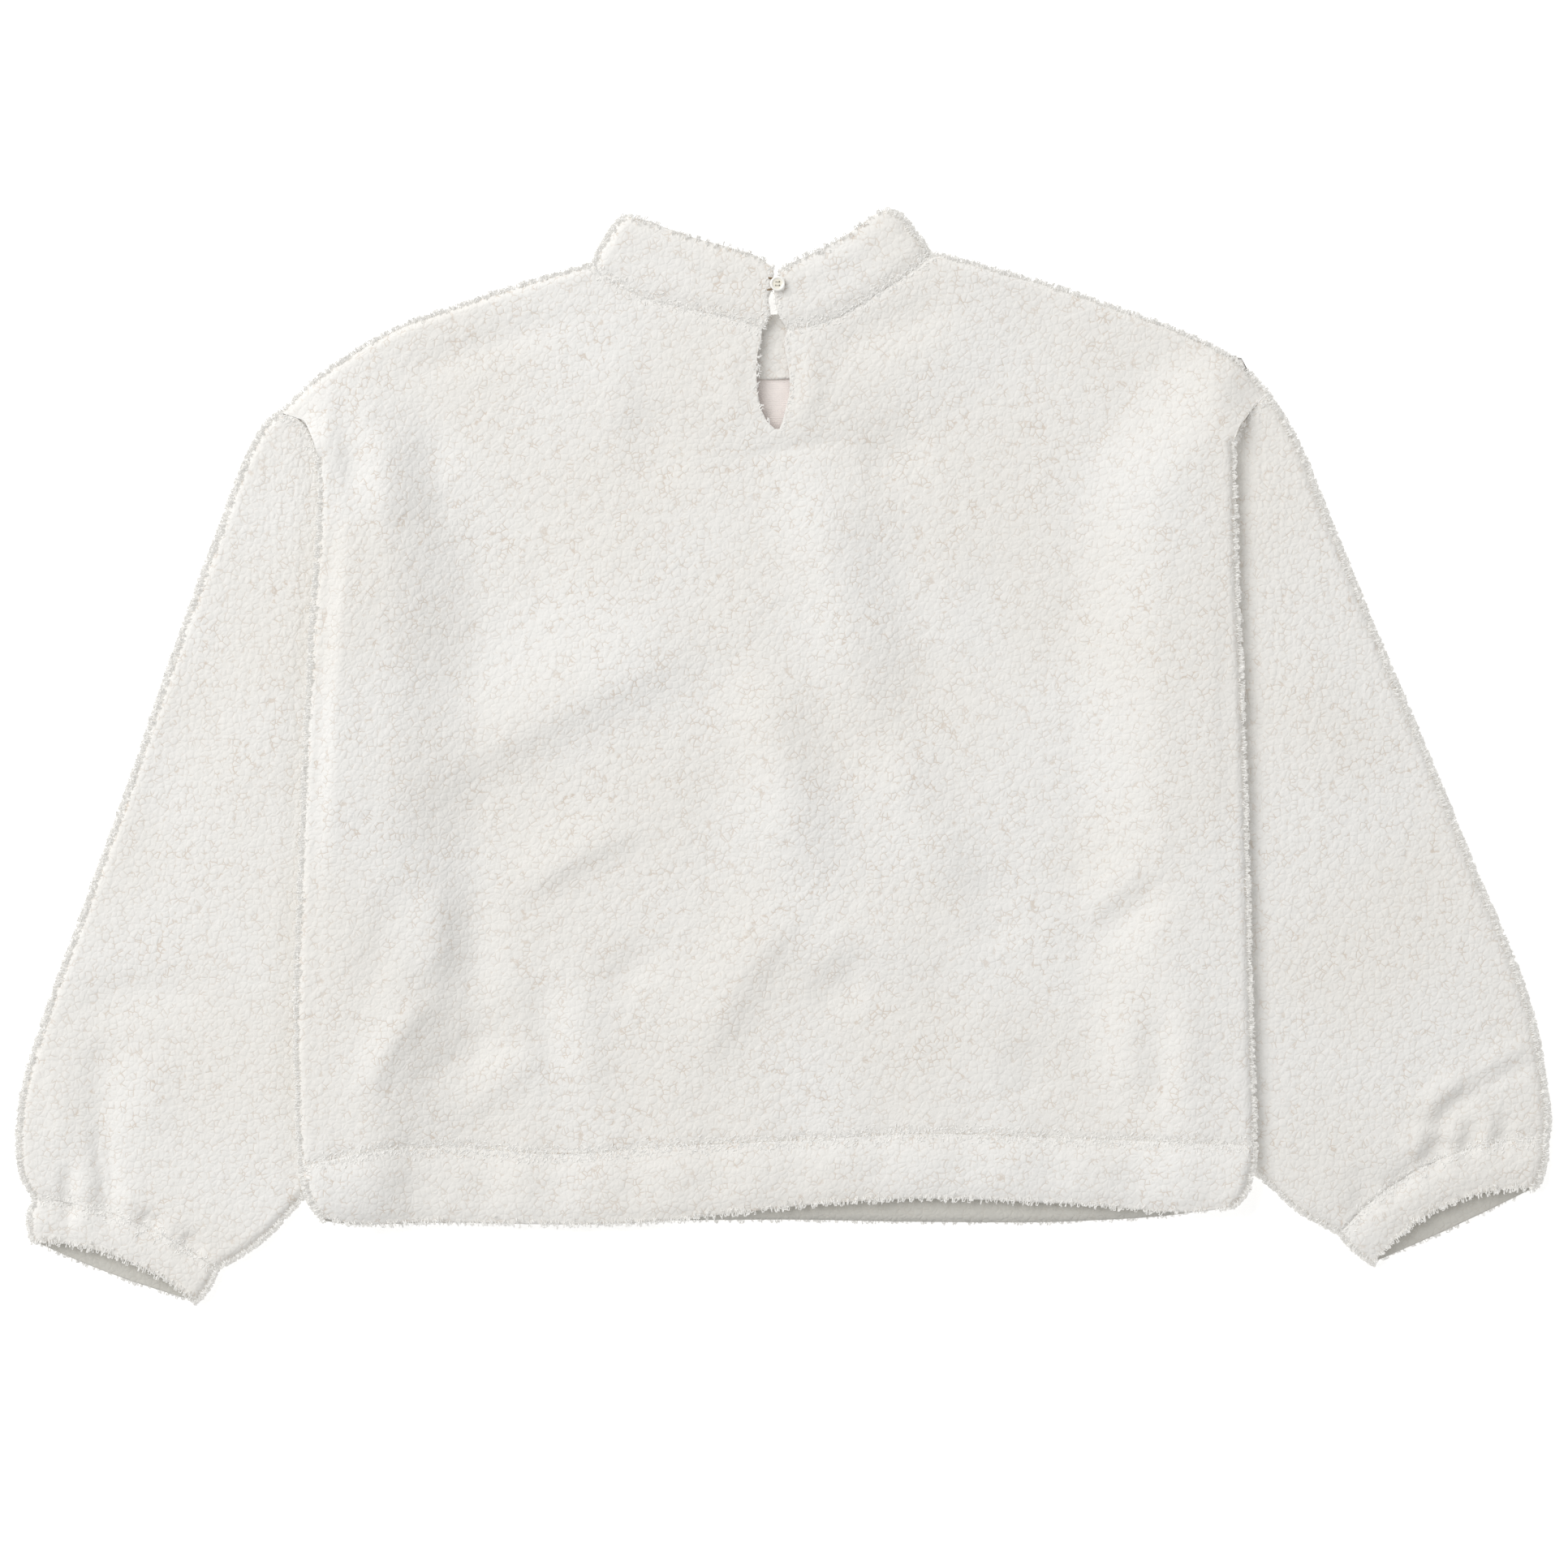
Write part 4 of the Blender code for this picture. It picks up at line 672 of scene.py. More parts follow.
def hidden_sleeve(side):
    """The plan outline of the stretch of sleeve that lies under the body."""
    arm = ARMS[side]
    inner = [(row.in_x, row.in_y) for row in arm.sleeve if abs(row.in_x) < SLEEVE_UNDER]
    return inner + [tuple(arm.leaves)] + side_outline(side)


HIDDEN = {side: hidden_sleeve(side) for side in ARMS}


def lift(x, y, ramp):
    """How far the body is raised by the sleeves that lie under its sides."""
    total = np.zeros(np.shape(x))
    for side, arm in ARMS.items():
        outline, shoulder = HIDDEN[side], arm.armhole[-1]
        d = path_distance(x, y, outline + outline[:1])
        d = np.where(inside(x, y, outline), 0.0, d)
        sewn = ease(np.hypot(x - shoulder.x, y - shoulder.y), 0.0, ARMHOLE_REACH)
        total = np.maximum(total, sewn * (1.0 - ease(d, LIFT_LEVEL, ramp)))
    return LIFT * total


def neck_raise(x, y):
    """The panels ride up where the front collar lies between them."""
    r = np.hypot((x - NECK_RAISE_AT.x) / NECK_RAISE_WIDE, (y - NECK_RAISE_AT.y) / NECK_RAISE_LONG)
    return NECK_RAISE * (1.0 - ease(r, 1.0, NECK_RAISE_FADE))


def rounded_paths():
    """The panels' edges that are folds or side seams, where the cloth turns round."""
    stops = np.linspace(0.0, 1.0, SHOULDER_POINTS)
    shoulders = [
        [tuple(p) for p in smooth_curve(line, stops)] for line in (SHOULDER_LEFT, SHOULDER_RIGHT)
    ]
    return [*(side_outline(side) for side in ARMS), *shoulders]


ROUNDED = rounded_paths()


def edge_distance(x, y):
    """How far each place is from the panels' nearest rounded edge."""
    return np.min([path_distance(x, y, path) for path in ROUNDED], axis=0)


def turn(d):
    """0 at a rounded edge, rising along a quarter circle to 1 at EDGE_ROUND from it."""
    return np.sqrt(np.clip(1.0 - (1.0 - np.clip(d / EDGE_ROUND, 0.0, 1.0)) ** 2, 0.0, 1.0))


def seam_dip(x, y):
    """How far the back's pile dips along the hem's stitches and the neck's seam."""
    hem = np.abs(y - value_at(x, HEM_SEAM))
    neck = path_distance(x, y, NECK_BACK)
    return SEAM_SINK * nearness(np.minimum(hem, neck), SEAM_SINK_REACH)


def back_face(x, y, d):
    """Heights of the back panel's outer and inner face.

    The outer one is the seam's plane, the layers' gap, the cloth's thickness and the creases; a
    trough is shallower in the inner one, so that it stays off the front panel.
    """
    seam = lift(x, y, BACK_RAMP) + SIDE_SEAM + neck_raise(x, y) + SEAM_GAP / 2
    above_hem = np.abs(y - value_at(x, HEM_SEAM))
    folds = crease_rise(x, y, BACK_CREASES) + ripples(x) * np.exp(-above_hem / RIPPLE_FADE)
    folds = folds * ease(d, EDGE_ROUND, FOLD_CALM)
    outer = LAYER_GAP + WALL + np.maximum(folds, -CREASE_DEEPEST) - seam_dip(x, y)
    inner = LAYER_GAP + np.maximum(folds, -INNER_DEEPEST)
    return seam + outer * turn(d), seam + inner * turn(d)


def front_face(x, y, d):
    """Heights of the front panel's outer and inner face; the outer one rests on the floor."""
    seam = lift(x, y, BACK_RAMP) + SIDE_SEAM + neck_raise(x, y) - SEAM_GAP / 2
    low = lift(x, y, FRONT_RAMP)
    return seam - (seam - low) * turn(d), seam - (seam - low - WALL) * turn(d)


def coons(bottom, top, left, right, u, v):
    """A grid of places that blends four border curves, read at u across and v along."""
    u, v = u[:, None, None], v[None, :, None]
    bottom, top = bottom[:, None, :], top[:, None, :]
    left, right = left[None, :, :], right[None, :, :]
    corners = (
        (1 - u) * (1 - v) * bottom[:1] + u * (1 - v) * bottom[-1:]
        + (1 - u) * v * top[:1] + u * v * top[-1:]
    )
    return (1 - v) * bottom + v * top + (1 - u) * left + u * right - corners


def edge_stops(length):
    """Fractions near a rounded edge that follow its quarter circle."""
    return np.array([EDGE_ROUND * (1 - math.cos(math.radians(a))) / length for a in EDGE_ANGLES])


def panel_stops(grid):
    """The grid's fractions across and along: even steps, and a quarter circle at rounded edges."""
    rim = edge_stops(BODY_ACROSS)
    side = round(grid.across * NECK_FROM)
    middle = grid.across - 2 * side
    across = np.concatenate([
        rim[:-1], np.linspace(rim[-1], NECK_FROM, side + 1)[:-1],
        np.linspace(NECK_FROM, NECK_TO, middle + 1), np.linspace(NECK_TO, 1 - rim[-1], side + 1)[1:],
        1 - rim[:-1][::-1],
    ])
    crown = edge_stops(BODY_ALONG)
    along = np.concatenate([np.linspace(0.0, 1 - crown[-1], grid.along)[:-1], 1 - crown[::-1]])
    return across, along


def neck_fraction(stops):
    """A panel's fractions across as fractions of its neckline."""
    return (stops - NECK_FROM) / (NECK_TO - NECK_FROM)


def split_curve(first, middle, last, stops):
    """Three curves read as one: a shoulder, the neckline and the other shoulder."""
    a, c = stops <= NECK_FROM, stops >= NECK_TO
    b = ~a & ~c
    return np.concatenate([
        smooth_curve(first, stops[a] / NECK_FROM), smooth_curve(middle, neck_fraction(stops[b])),
        smooth_curve(last, (stops[c] - NECK_TO) / (1 - NECK_TO)),
    ])


def side_curve(side, stops):
    """The side border: up the body's edge, then through the armhole's own points."""
    armhole = ARMS[side].armhole
    seam_end = HEM_SEAM[0] if side == "left" else HEM_SEAM[-1]
    low = stops <= ARMHOLE_STOPS[0]
    heights = seam_end.y + (armhole[0].y - seam_end.y) * stops[low] / ARMHOLE_STOPS[0]
    body = np.stack([side_x(heights, side), heights], axis=1)
    bend = [np.interp(stops[~low], ARMHOLE_STOPS, [p[k] for p in armhole]) for k in (0, 1)]
    return np.concatenate([body, np.stack(bend, axis=1)])


def panel_plan(neckline, u, v):
    """The grid of places that a panel covers."""
    top = split_curve(SHOULDER_LEFT, neckline, SHOULDER_RIGHT[::-1], u)
    across = HEM_SEAM[0].x + (HEM_SEAM[-1].x - HEM_SEAM[0].x) * u
    bottom = np.column_stack([across, value_at(across, HEM_SEAM)])
    left, right = side_curve("left", v), side_curve("right", v)
    bottom[0], bottom[-1] = left[0], right[0]
    top[0], top[-1] = left[-1], right[-1]
    return coons(bottom, top, left, right, u, v)


def inward(plan):
    """Unit directions away from the nearest rounded edge; a rim takes its neighbour's."""
    x, y = plan[..., 0], plan[..., 1]
    toward = np.stack([
        edge_distance(x + PROBE, y) - edge_distance(x - PROBE, y),
        edge_distance(x, y + PROBE) - edge_distance(x, y - PROBE),
    ], axis=-1)
    toward[:, -1] = toward[:, -2]
    toward[0], toward[-1] = toward[1], toward[-2]
    return unit(toward)


def along_cut(shift, plan, toward, rows):
    """Turns the shifts along a cut edge so that they stay on the cut's own line."""
    tangent = unit(np.gradient(plan[rows], axis=0))
    facing = np.sum(tangent * toward[rows], axis=1, keepdims=True)
    size = np.linalg.norm(shift[rows], axis=1, keepdims=True)
    shift[rows] = tangent * size * np.sign(facing) / np.maximum(np.abs(facing), LEAST_FACING)


def panel_grids(face, plan, u, v):
    """The outer grid at a face's height, and the inner one a wall's thickness inside it."""
    x, y = plan[..., 0], plan[..., 1]
    d = edge_distance(x, y)
    toward = inward(plan)
    shift = WALL * np.clip(1.0 - d / EDGE_ROUND, 0.0, 1.0)[..., None] * toward
    armhole = slice(int(np.argmax(v > ARMHOLE_STOPS[0] + 1e-6)), None)
    neck = slice(int(np.argmax(u >= NECK_FROM - 1e-6)), int(np.argmax(u >= NECK_TO - 1e-6)) + 1)
    for rows in ((slice(None), 0), (0, armhole), (-1, armhole), (neck, -1)):
        along_cut(shift, plan, toward, rows)
    places = (plan, plan + shift)
    return [np.concatenate([p, z[..., None]], axis=-1) for p, z in zip(places, face(x, y, d))]


def mixed(a, b, c, salt):
    """Whole numbers mixed into one value between 0 and 1, the same on each run."""
    h = (a * 73856093) ^ (b * 19349663) ^ (c * 83492791) ^ (salt * 2654435761)
    h = (h ^ (h >> 13)) * 1274126177 & 0xFFFFFFFF
    h = (h ^ (h >> 16)) * 2246822519 & 0xFFFFFFFF
    return ((h ^ (h >> 15)) & 0xFFFFFF) / 0x1000000


def cells(points, size, salt):
    """How far each place is from the border of its cell, 0 on it and about 1 in the middle.

    Space is split into cubes with one seed in each at a mixed place; a cell is what is nearest
    to its seed, and the value is the distance to the second nearest seed less the nearest one's.
    """
    q = points.reshape(-1, 3) / size
    corner = np.floor(q).astype(np.int64)
    first = np.full(len(q), np.inf)
    second = first.copy()
    for dx in (-1, 0, 1):
        for dy in (-1, 0, 1):
            for dz in (-1, 0, 1):
                a, b, c = corner[:, 0] + dx, corner[:, 1] + dy, corner[:, 2] + dz
                seed = [whole + mixed(a, b, c, salt + k) for k, whole in enumerate((a, b, c))]
                d = np.sqrt(sum((q[:, k] - seed[k]) ** 2 for k in range(3)))
                second = np.minimum(second, np.maximum(first, d))
                first = np.minimum(first, d)
    return (second - first).reshape(points.shape[:-1])


def normals(grid, within, around):
    """Unit normals of a grid, all turned away from the places in within."""
    if around:
        across = np.roll(grid, -1, axis=0) - np.roll(grid, 1, axis=0)
    else:
        across = np.gradient(grid, axis=0)
    normal = unit(np.cross(across, np.gradient(grid, axis=1)))
    away = np.sum(normal * (grid - within))
    return normal * (1.0 if away > 0 else -1.0)


def add_pile(grid, within, around, sink):
    """Moves an outer grid along its normals by its curls and clumps.

    The height is the curls' cell value, eased to a rounded lump, plus that of the larger clumps.
    sink, from 0 to 1, says where the relief may only go inwards, as on a face that lies on
    something. Returns the grid, its normals and how deep each place lies between curls, which
    weighs the painted shade there.
    """
    normal = normals(grid, within, around)
    height, deep = 0.0, 0.0
    for relief in RELIEFS:
        raised = ease(cells(grid, relief.size, relief.salt), 0.0, relief.full)
        height = height + relief.depth * (raised - relief.below)
        deep = deep + (1.0 - raised) * relief.gap
    return grid + normal * (height - HIDDEN_SINK * sink)[..., None], normal, deep


def bridge(fine, coarse, at):
    """Triangles between a fine edge and a coarse one; at gives the coarse points' fine indices."""
    at = np.asarray(at)
    steps = np.arange(len(fine) - 1)
    owner = np.searchsorted((at[:-1] + at[1:]) / 2, steps + 0.5)
    change = np.searchsorted(owner, np.arange(len(at) - 1), side="right")
    return [
        np.stack([coarse[owner], fine[steps + 1], fine[steps]], axis=1),
        np.stack([coarse[:-1], coarse[1:], fine[change]], axis=1),
    ]


def halves(a, b, c, d):
    """Two triangles for each four corners."""
    return [np.stack([a, b, c], axis=1), np.stack([a, c, d], axis=1)]


def quads(ids):
    """The grid's faces, two triangles for each cell."""
    return halves(*(q.ravel() for q in (ids[:-1, :-1], ids[1:, :-1], ids[1:, 1:], ids[:-1, 1:])))


def kept(count, skip, around):
    """Every skip-th index, with the last one, or with the first one again on a closed line."""
    picks = list(range(0, count, skip))
    if around:
        return picks + [count]
    return picks if picks[-1] == count - 1 else picks + [count - 1]


def shell(name, outer, inner, around, skip, deep, shade, materials):
    """A closed piece between a fine outer grid and an inner one that keeps every skip-th line.

    deep, the painted shade of each outer point from the depth between its curls, deep creases and
    rims, becomes a mesh attribute, whose value on the inner face is shade.
    The inner face has the second material, if one is given.
    """
    lines, rows = outer.shape[:2]
    at_line, at_row = kept(lines, skip, around), kept(rows, skip, False)
    inner = inner[np.array(at_line) % lines][:, at_row]
    ids = np.arange(lines * rows).reshape(lines, rows)
    if around:
        inner = inner[:-1]
        ids = np.vstack([ids, ids[:1]])
    low = lines * rows + np.arange(inner[..., 0].size).reshape(inner.shape[:2])
    if around:
        low = np.vstack([low, low[:1]])
    faces = quads(ids)
    within = [f[:, ::-1] for f in quads(low)]
    rims = bridge(ids[:, 0], low[:, 0], at_line)
    rims += bridge(ids[:, -1][::-1], low[:, -1][::-1], flipped(at_line))
    if not around:
        rims += bridge(ids[0][::-1], low[0][::-1], flipped(at_row))
        rims += bridge(ids[-1], low[-1], at_row)
    points = np.concatenate([outer.reshape(-1, 3), inner.reshape(-1, 3)]) * MM
    parts = [np.concatenate(faces), np.concatenate(rims), np.concatenate(within)]
    slots = np.repeat([0, 0, min(1, len(materials) - 1)], [len(part) for part in parts])
    gap = np.concatenate([deep.ravel(), np.full(inner[..., 0].size, shade)])
    return new_piece(name, points, np.concatenate(parts), materials, slots, gap)


def flipped(at):
    """A coarse edge's indices seen from its other end."""
    return at[-1] - np.array(at)[::-1]


def new_piece(name, points, faces, materials, slots=None, gap=None):
    """Puts arrays of points and triangles into a mesh with its faces outwards."""
    mesh = bpy.data.meshes.new(name)
    mesh.vertices.add(len(points))
    mesh.vertices.foreach_set("co", np.asarray(points, np.float32).ravel())
    mesh.loops.add(len(faces) * 3)
    mesh.loops.foreach_set("vertex_index", np.asarray(faces, np.int32).ravel())
    mesh.polygons.add(len(faces))
    mesh.polygons.foreach_set("loop_start", np.arange(0, len(faces) * 3, 3, dtype=np.int32))
    for material in materials:
        mesh.materials.append(material)
    if slots is not None:
        mesh.polygons.foreach_set("material_index", np.asarray(slots, np.int32))
    if gap is not None:
        mesh.attributes.new("gap", "FLOAT", "POINT").data.foreach_set("value", gap.astype(np.float32))
    mesh.update(calc_edges=True)
    work = bmesh.new()
    work.from_mesh(mesh)
    bmesh.ops.recalc_face_normals(work, faces=work.faces)
    if work.calc_volume(signed=True) < 0:
        bmesh.ops.reverse_faces(work, faces=work.faces)
    work.to_mesh(mesh)
    work.free()
    mesh.shade_smooth()
    item = bpy.data.objects.new(name, mesh)
    bpy.context.scene.collection.objects.link(item)
    return item


def flat_tube(top_line, low_line, high, low, thick, top_stops, low_stops):
    """The outer and inner grid of a flattened tube, points round it along the first axis.

    Each section has an upper and a lower layer whose edges meet in half circles. The lines give
    places for fractions across, one column for each section; high and low give heights for
    places; thick is the cloth's thickness. The stops are evenly spaced fractions between the
    half circles.
    """
    edges = [np.full((1, 1), f) for f in (0.0, 1.0)]
    ends = [(top_line(f) + low_line(f))[0] / 2 for f in edges]
    across = np.linalg.norm(ends[1] - ends[0], axis=-1)
    radius = [(high(*end.T) - low(*end.T)) / 2 for end in ends]
    middle = [(high(*end.T) + low(*end.T)) / 2 for end in ends]
    angle = np.radians(ROUND_ANGLES)[:, None]

    def tip(f, level):
        """The outermost points of all sections at one of their edges."""
        f = np.broadcast_to(f, across.shape)[None]
        place = (top_line(f) + low_line(f)) / 2
        return np.concatenate([place, np.broadcast_to(level, across.shape)[None, :, None]], axis=-1)

    def layer(line, height, sign, stops, depth):
        """The points of one layer between the tips, at a depth inside the outer face."""
        first = (radius[0] - (radius[0] - depth) * np.cos(angle)) / across
        last = 1 - (radius[1] - (radius[1] - depth) * np.cos(angle[::-1])) / across
        between = first[-1:] + (last[:1] - first[-1:]) * stops[:, None]
        f = np.concatenate([first, between, last])
        bend = np.concatenate([np.sin(angle), np.ones((len(stops), 1)), np.sin(angle[::-1])])
        level = middle[0] + (middle[1] - middle[0]) * f
        place = line(f)
        z = level + (height(place[..., 0], place[..., 1]) - sign * depth - level) * bend
        points = np.concatenate([place, z[..., None]], axis=-1)
        return points if sign > 0 else points[::-1]

    return [
        np.concatenate([
            tip(depth / across, middle[0]), layer(top_line, high, 1.0, top_stops, depth),
            tip(1 - depth / across, middle[1]), layer(low_line, low, -1.0, low_stops, depth),
        ])
        for depth in (0.0, thick)
    ]


def between(count):
    """Evenly spaced fractions that leave out both ends."""
    return np.linspace(0.0, 1.0, count + 2)[1:-1]


def path_shape(points):
    """Fractions and places of a run of straight stretches."""
    p = np.array(points, float)
    reach = np.concatenate([[0.0], np.cumsum(np.linalg.norm(np.diff(p, axis=0), axis=1))])
    return reach / reach[-1], p


def up_arm(start, end, sign):
    """Unit directions towards the shoulder, at right angles to the sections of an arm."""
    return unit(np.column_stack([start[:, 1] - end[:, 1], end[:, 0] - start[:, 0]]) * sign)


def sleeve_grids(side):
    """A sleeve's grids, from the armhole's seam down to the cuff's seam."""
    arm = ARMS[side]
    even = np.linspace(0.0, 1.0, SLEEVE_GRID.along)
    spread = SLEEVE_EVEN * even + (1 - SLEEVE_EVEN) * np.sin(even * math.pi / 2)
    sections = smooth_curve(arm.sleeve, spread)
    start, end = sections[:, :2], sections[:, 2:]
    armpit = Point(arm.sleeve[0].in_x, arm.sleeve[0].in_y)
    fractions, seam = path_shape([*arm.armhole[::-1], armpit])
    bowed = (1.0 - ease(spread, 0.0, ARMHOLE_BOW_FADE))[:, None]
    drop = np.array([SLEEVE_SEAM_DROP.x * arm.sign, SLEEVE_SEAM_DROP.y]) * (spread == 0)[:, None]
    pressed = SLEEVE_PRESS * (1.0 - ease(spread, 0.0, SLEEVE_PRESS_FADE))
    pulled = arm.draw.seam * ease(spread, DRAW_FROM, 1.0)
    up = up_arm(start, end, arm.sign)

    def low_line(f):
        """The lower layer: straight across, but bowed like the armhole near it."""
        shape = np.stack([np.interp(f, fractions, seam[:, k]) for k in (0, 1)], axis=-1)
        chord = seam[0] + (seam[-1] - seam[0]) * f[..., None]
        return start + (end - start) * f[..., None] + (shape - chord) * bowed + drop

    def top_line(f):
        """The upper layer, which the cuff draws up the arm most in the middle."""
        return low_line(f) + up * (pulled * 4 * f * (1 - f))[..., None]

    def high(x, y):
        """Height of the upper layer, which swells where the body doesn't cover it."""
        shown = ease(arm.sign * (side_x(y, side) - x), 0.0, SLEEVE_PUFF_REACH)
        folds = crease_rise(x, y, arm.creases) - CUFF_DIP * nearness(1 - spread, CUFF_DIP_REACH)
        rise = SLEEVE_OPEN - SLEEVE_HIDDEN + np.maximum(folds, -CREASE_DEEPEST)
        return SLEEVE_HIDDEN - pressed + shown * rise

    def low(x, y):
        """Height of the lower layer, which rests on the floor."""
        return np.zeros(np.shape(x))

    return flat_tube(
        top_line, low_line, high, low, WALL, between(SLEEVE_GRID.across), between(SLEEVE_GRID.under),
    )


def cuff_grids(side):
    """A cuff's grids: its upper layer is drawn up the sleeve, and its mouth edge is a fold."""
    arm = ARMS[side]
    v = band_stops(CUFF_GRID.along)
    inset = value_at(v, CUFF_RINGS)
    sections = smooth_curve(arm.cuff, v)
    start, end = sections[:, :2], sections[:, 2:]
    up = up_arm(start, end, arm.sign)

    def line(f, bow):
        """A layer, bowed up the arm in its middle, with its pile over the seam."""
        rise = bow * 4 * f * (1 - f) + CUFF_LAP * (1 - v) ** 2
        return start + (end - start) * f[..., None] + up * rise[..., None]

    def high(x, y):
        """Height of the upper layer with its gathers, calmer towards the mouth."""
        dimples = np.maximum(crease_rise(x, y, arm.creases), -CREASE_DEEPEST)
        return CUFF_HIGH - inset + dimples * (1.0 - CUFF_SMOOTH * v)

    def low(x, y):
        """Height of the lower layer."""
        return np.broadcast_to(inset, np.shape(x))

    return flat_tube(
        lambda f: line(f, arm.draw.seam + (arm.draw.mouth - arm.draw.seam) * v),
        lambda f: line(f, -arm.draw.front * v), high, low, CUFF_WALL - 2 * inset,
        between(CUFF_GRID.across), between(CUFF_GRID.under),
    )


def band_stops(count):
    """Fractions from a band's seam to its fold, closer where the fold rounds over."""
    flat = np.linspace(0.0, FOLD_FROM, count - FOLD_ROWS + 1)[:-1]
    return np.concatenate([flat, np.linspace(FOLD_FROM, 1.0, FOLD_ROWS)])


def ring_value(rings, column, v):
    """A named column of a band's rings, at fractions from its seam to its fold."""
    return value_at(v, [(row.v, getattr(row, column)) for row in rings])


def ripples(x):
    """Height of the hem's small waves at a place along it."""
    return sum(row.rise * nearness(x - row.x, row.reach) for row in HEM_RIPPLES)


def hem_grids():
    """The doubled band round the hem, from the line of stitches down to its fold."""
    v = band_stops(HEM_GRID.along)
    inset, floor, within = (ring_value(HEM_RINGS, column, v) for column in ("inset", "floor", "within"))
    tuck = value_at(v, HEM_TUCK)
    first, last = HEM_SEAM[0].x + tuck, HEM_SEAM[-1].x - tuck

    def line(f, edge):
        """A layer from the seam to its own fold edge."""
        x = first + (last - first) * f
        seam = value_at(x, HEM_SEAM) + SEAM_LAP
        return np.stack([x, seam + (value_at(x, edge) - seam) * v], axis=-1)

    def high(x, y):
        """Height of the upper layer; its waves are highest halfway and gone at the fold."""
        wave = ripples(x) * (HEM_WAVE_AT_SEAM + (1 - HEM_WAVE_AT_SEAM) * np.sin(math.pi * v) ** 2)
        return lift(x, y, BACK_RAMP) + 2 * BAND_WALL + BAND_GAP - inset + wave * (1 - v ** 4)

    def low(x, y):
        """Height of the lower layer."""
        return lift(x, y, FRONT_RAMP) + floor

    return flat_tube(
        lambda f: line(f, HEM_BACK), lambda f: line(f, HEM_FRONT), high, low,
        BAND_WALL - inset - within, between(HEM_GRID.across), between(HEM_GRID.under),
    )


def neck_stretch(line, first, last, count):
    """Places on a neckline between two of its fractions."""
    return smooth_curve(line, np.linspace(first, last, count))


# The collar's stations: each is a band from the neck seam up to the free edge. Its angle is 90
# on the back layer and -90 on the front one. Then how far its seam and its free edge are carried
# outwards round a fold, and its share of the full thickness
Stations = namedtuple("Stations", "base top angle out_base out_top thin")


def flat_stations(bases, edge, angle, end=None):
    """A flat stretch of the collar, thinner towards its end at the slit if it has one."""
    reach, bases = path_shape(bases)
    thin = np.ones(len(bases))
    if end is not None:
        near = np.clip(np.linalg.norm(bases - bases[end], axis=1) / COLLAR_END_REACH, 0.0, 1.0)
        thin = COLLAR_END + (1 - COLLAR_END) * np.sqrt(1 - (1 - near) ** 2)
    still = np.zeros_like(bases)
    return Stations(bases, smooth_curve(edge, reach), np.full(len(bases), angle), still, still, thin)


def fold_stations(back, front, edge, corner, tip, way, swing):
    """A fold of the collar, which turns in a half circle from one layer to the other."""
    angle = COLLAR_ANGLES * way
    base = back + (front - back) * ease(-angle, 0.0, 90.0)[:, None]
    top = np.broadcast_to(np.array(edge), base.shape)
    reach = swing + COLLAR_WALL / 2
    out_base, out_top = (np.array(tip) - base) / reach, (np.array(corner) - top) / reach
    return Stations(base, top, angle, out_base, out_top, np.ones(len(base)))


def collar_stations(swing):
    """All stations, from one end at the slit round both folds to the other end."""
    fine = np.linspace(0.0, 1.0, NECK_POINTS)
    slit = np.interp(COLLAR_SLIT, smooth_curve(NECK_BACK, fine)[:, 0], fine)
    left = neck_stretch(NECK_BACK, slit[0], COLLAR_TURN, COLLAR_GRID.across)
    front = neck_stretch(NECK_FRONT, COLLAR_TURN, 1 - COLLAR_TURN, 2 * COLLAR_GRID.across)
    right = neck_stretch(NECK_BACK, 1 - COLLAR_TURN, slit[1], COLLAR_GRID.across)
    left_tip, right_tip = NECK_BACK[0], NECK_BACK[-1]
    left_corner, right_corner = COLLAR_CORNERS
    stretches = [
        flat_stations(left, COLLAR_LEFT_EDGE[::-1], 90.0, 0),
        fold_stations(left[-1], front[0], COLLAR_LEFT_EDGE[0], left_corner, left_tip, 1.0, swing),
        flat_stations(front, COLLAR_FRONT_EDGE, -90.0),
        fold_stations(right[0], front[-1], COLLAR_RIGHT_EDGE[-1], right_corner, right_tip, -1.0, swing),
        flat_stations(right, COLLAR_RIGHT_EDGE[::-1], 90.0, -1),
    ]
    return Stations(*(np.concatenate(parts) for parts in zip(*stretches)))


def collar_grids():
    """The doubled stand collar's outer and inner face, with its ends bowed over the slit."""
    half = COLLAR_WALL / 2
    level_back, level_front = 1.5 * COLLAR_WALL + BAND_GAP, half
    swing = (level_back - level_front) / 2
    base, top, angle, out_base, out_top, thin = collar_stations(swing)
    cos, sin = np.cos(np.radians(angle))[:, None, None], np.sin(np.radians(angle))[:, None]
    v = band_stops(COLLAR_GRID.along)
    bow = np.zeros((len(base), len(v)))
    for end, table in ((base[0], COLLAR_LEFT_BOW), (base[-1], COLLAR_RIGHT_BOW)):
        near = (1.0 - ease(np.linalg.norm(base - end, axis=1), 0.0, COLLAR_BOW_FADE)) * (angle == 90.0)
        near = near * ((base[:, 0] > SLIT_MIDDLE) == (end[0] > SLIT_MIDDLE))
        bow += near[:, None] * value_at(v, table)
    grids = []
    for sign, column in ((1.0, "outside"), (-1.0, "inside")):
        size = half * thin[:, None] * ring_value(COLLAR_RINGS, column, v)
        direction = out_base[:, None] + (out_top - out_base)[:, None] * v[:, None]
        place = base[:, None] + (top - base)[:, None] * v[:, None]
        place = place + direction * (swing + sign * size)[..., None] * cos
        place = place - unit(top - base)[:, None] * (COLLAR_LAP * (1 - v))[:, None]
        place[..., 0] += bow
        z = (level_back + level_front) / 2 + swing * sin + sign * size * sin
        grids.append(np.concatenate([place, z[..., None]], axis=-1))
    return grids


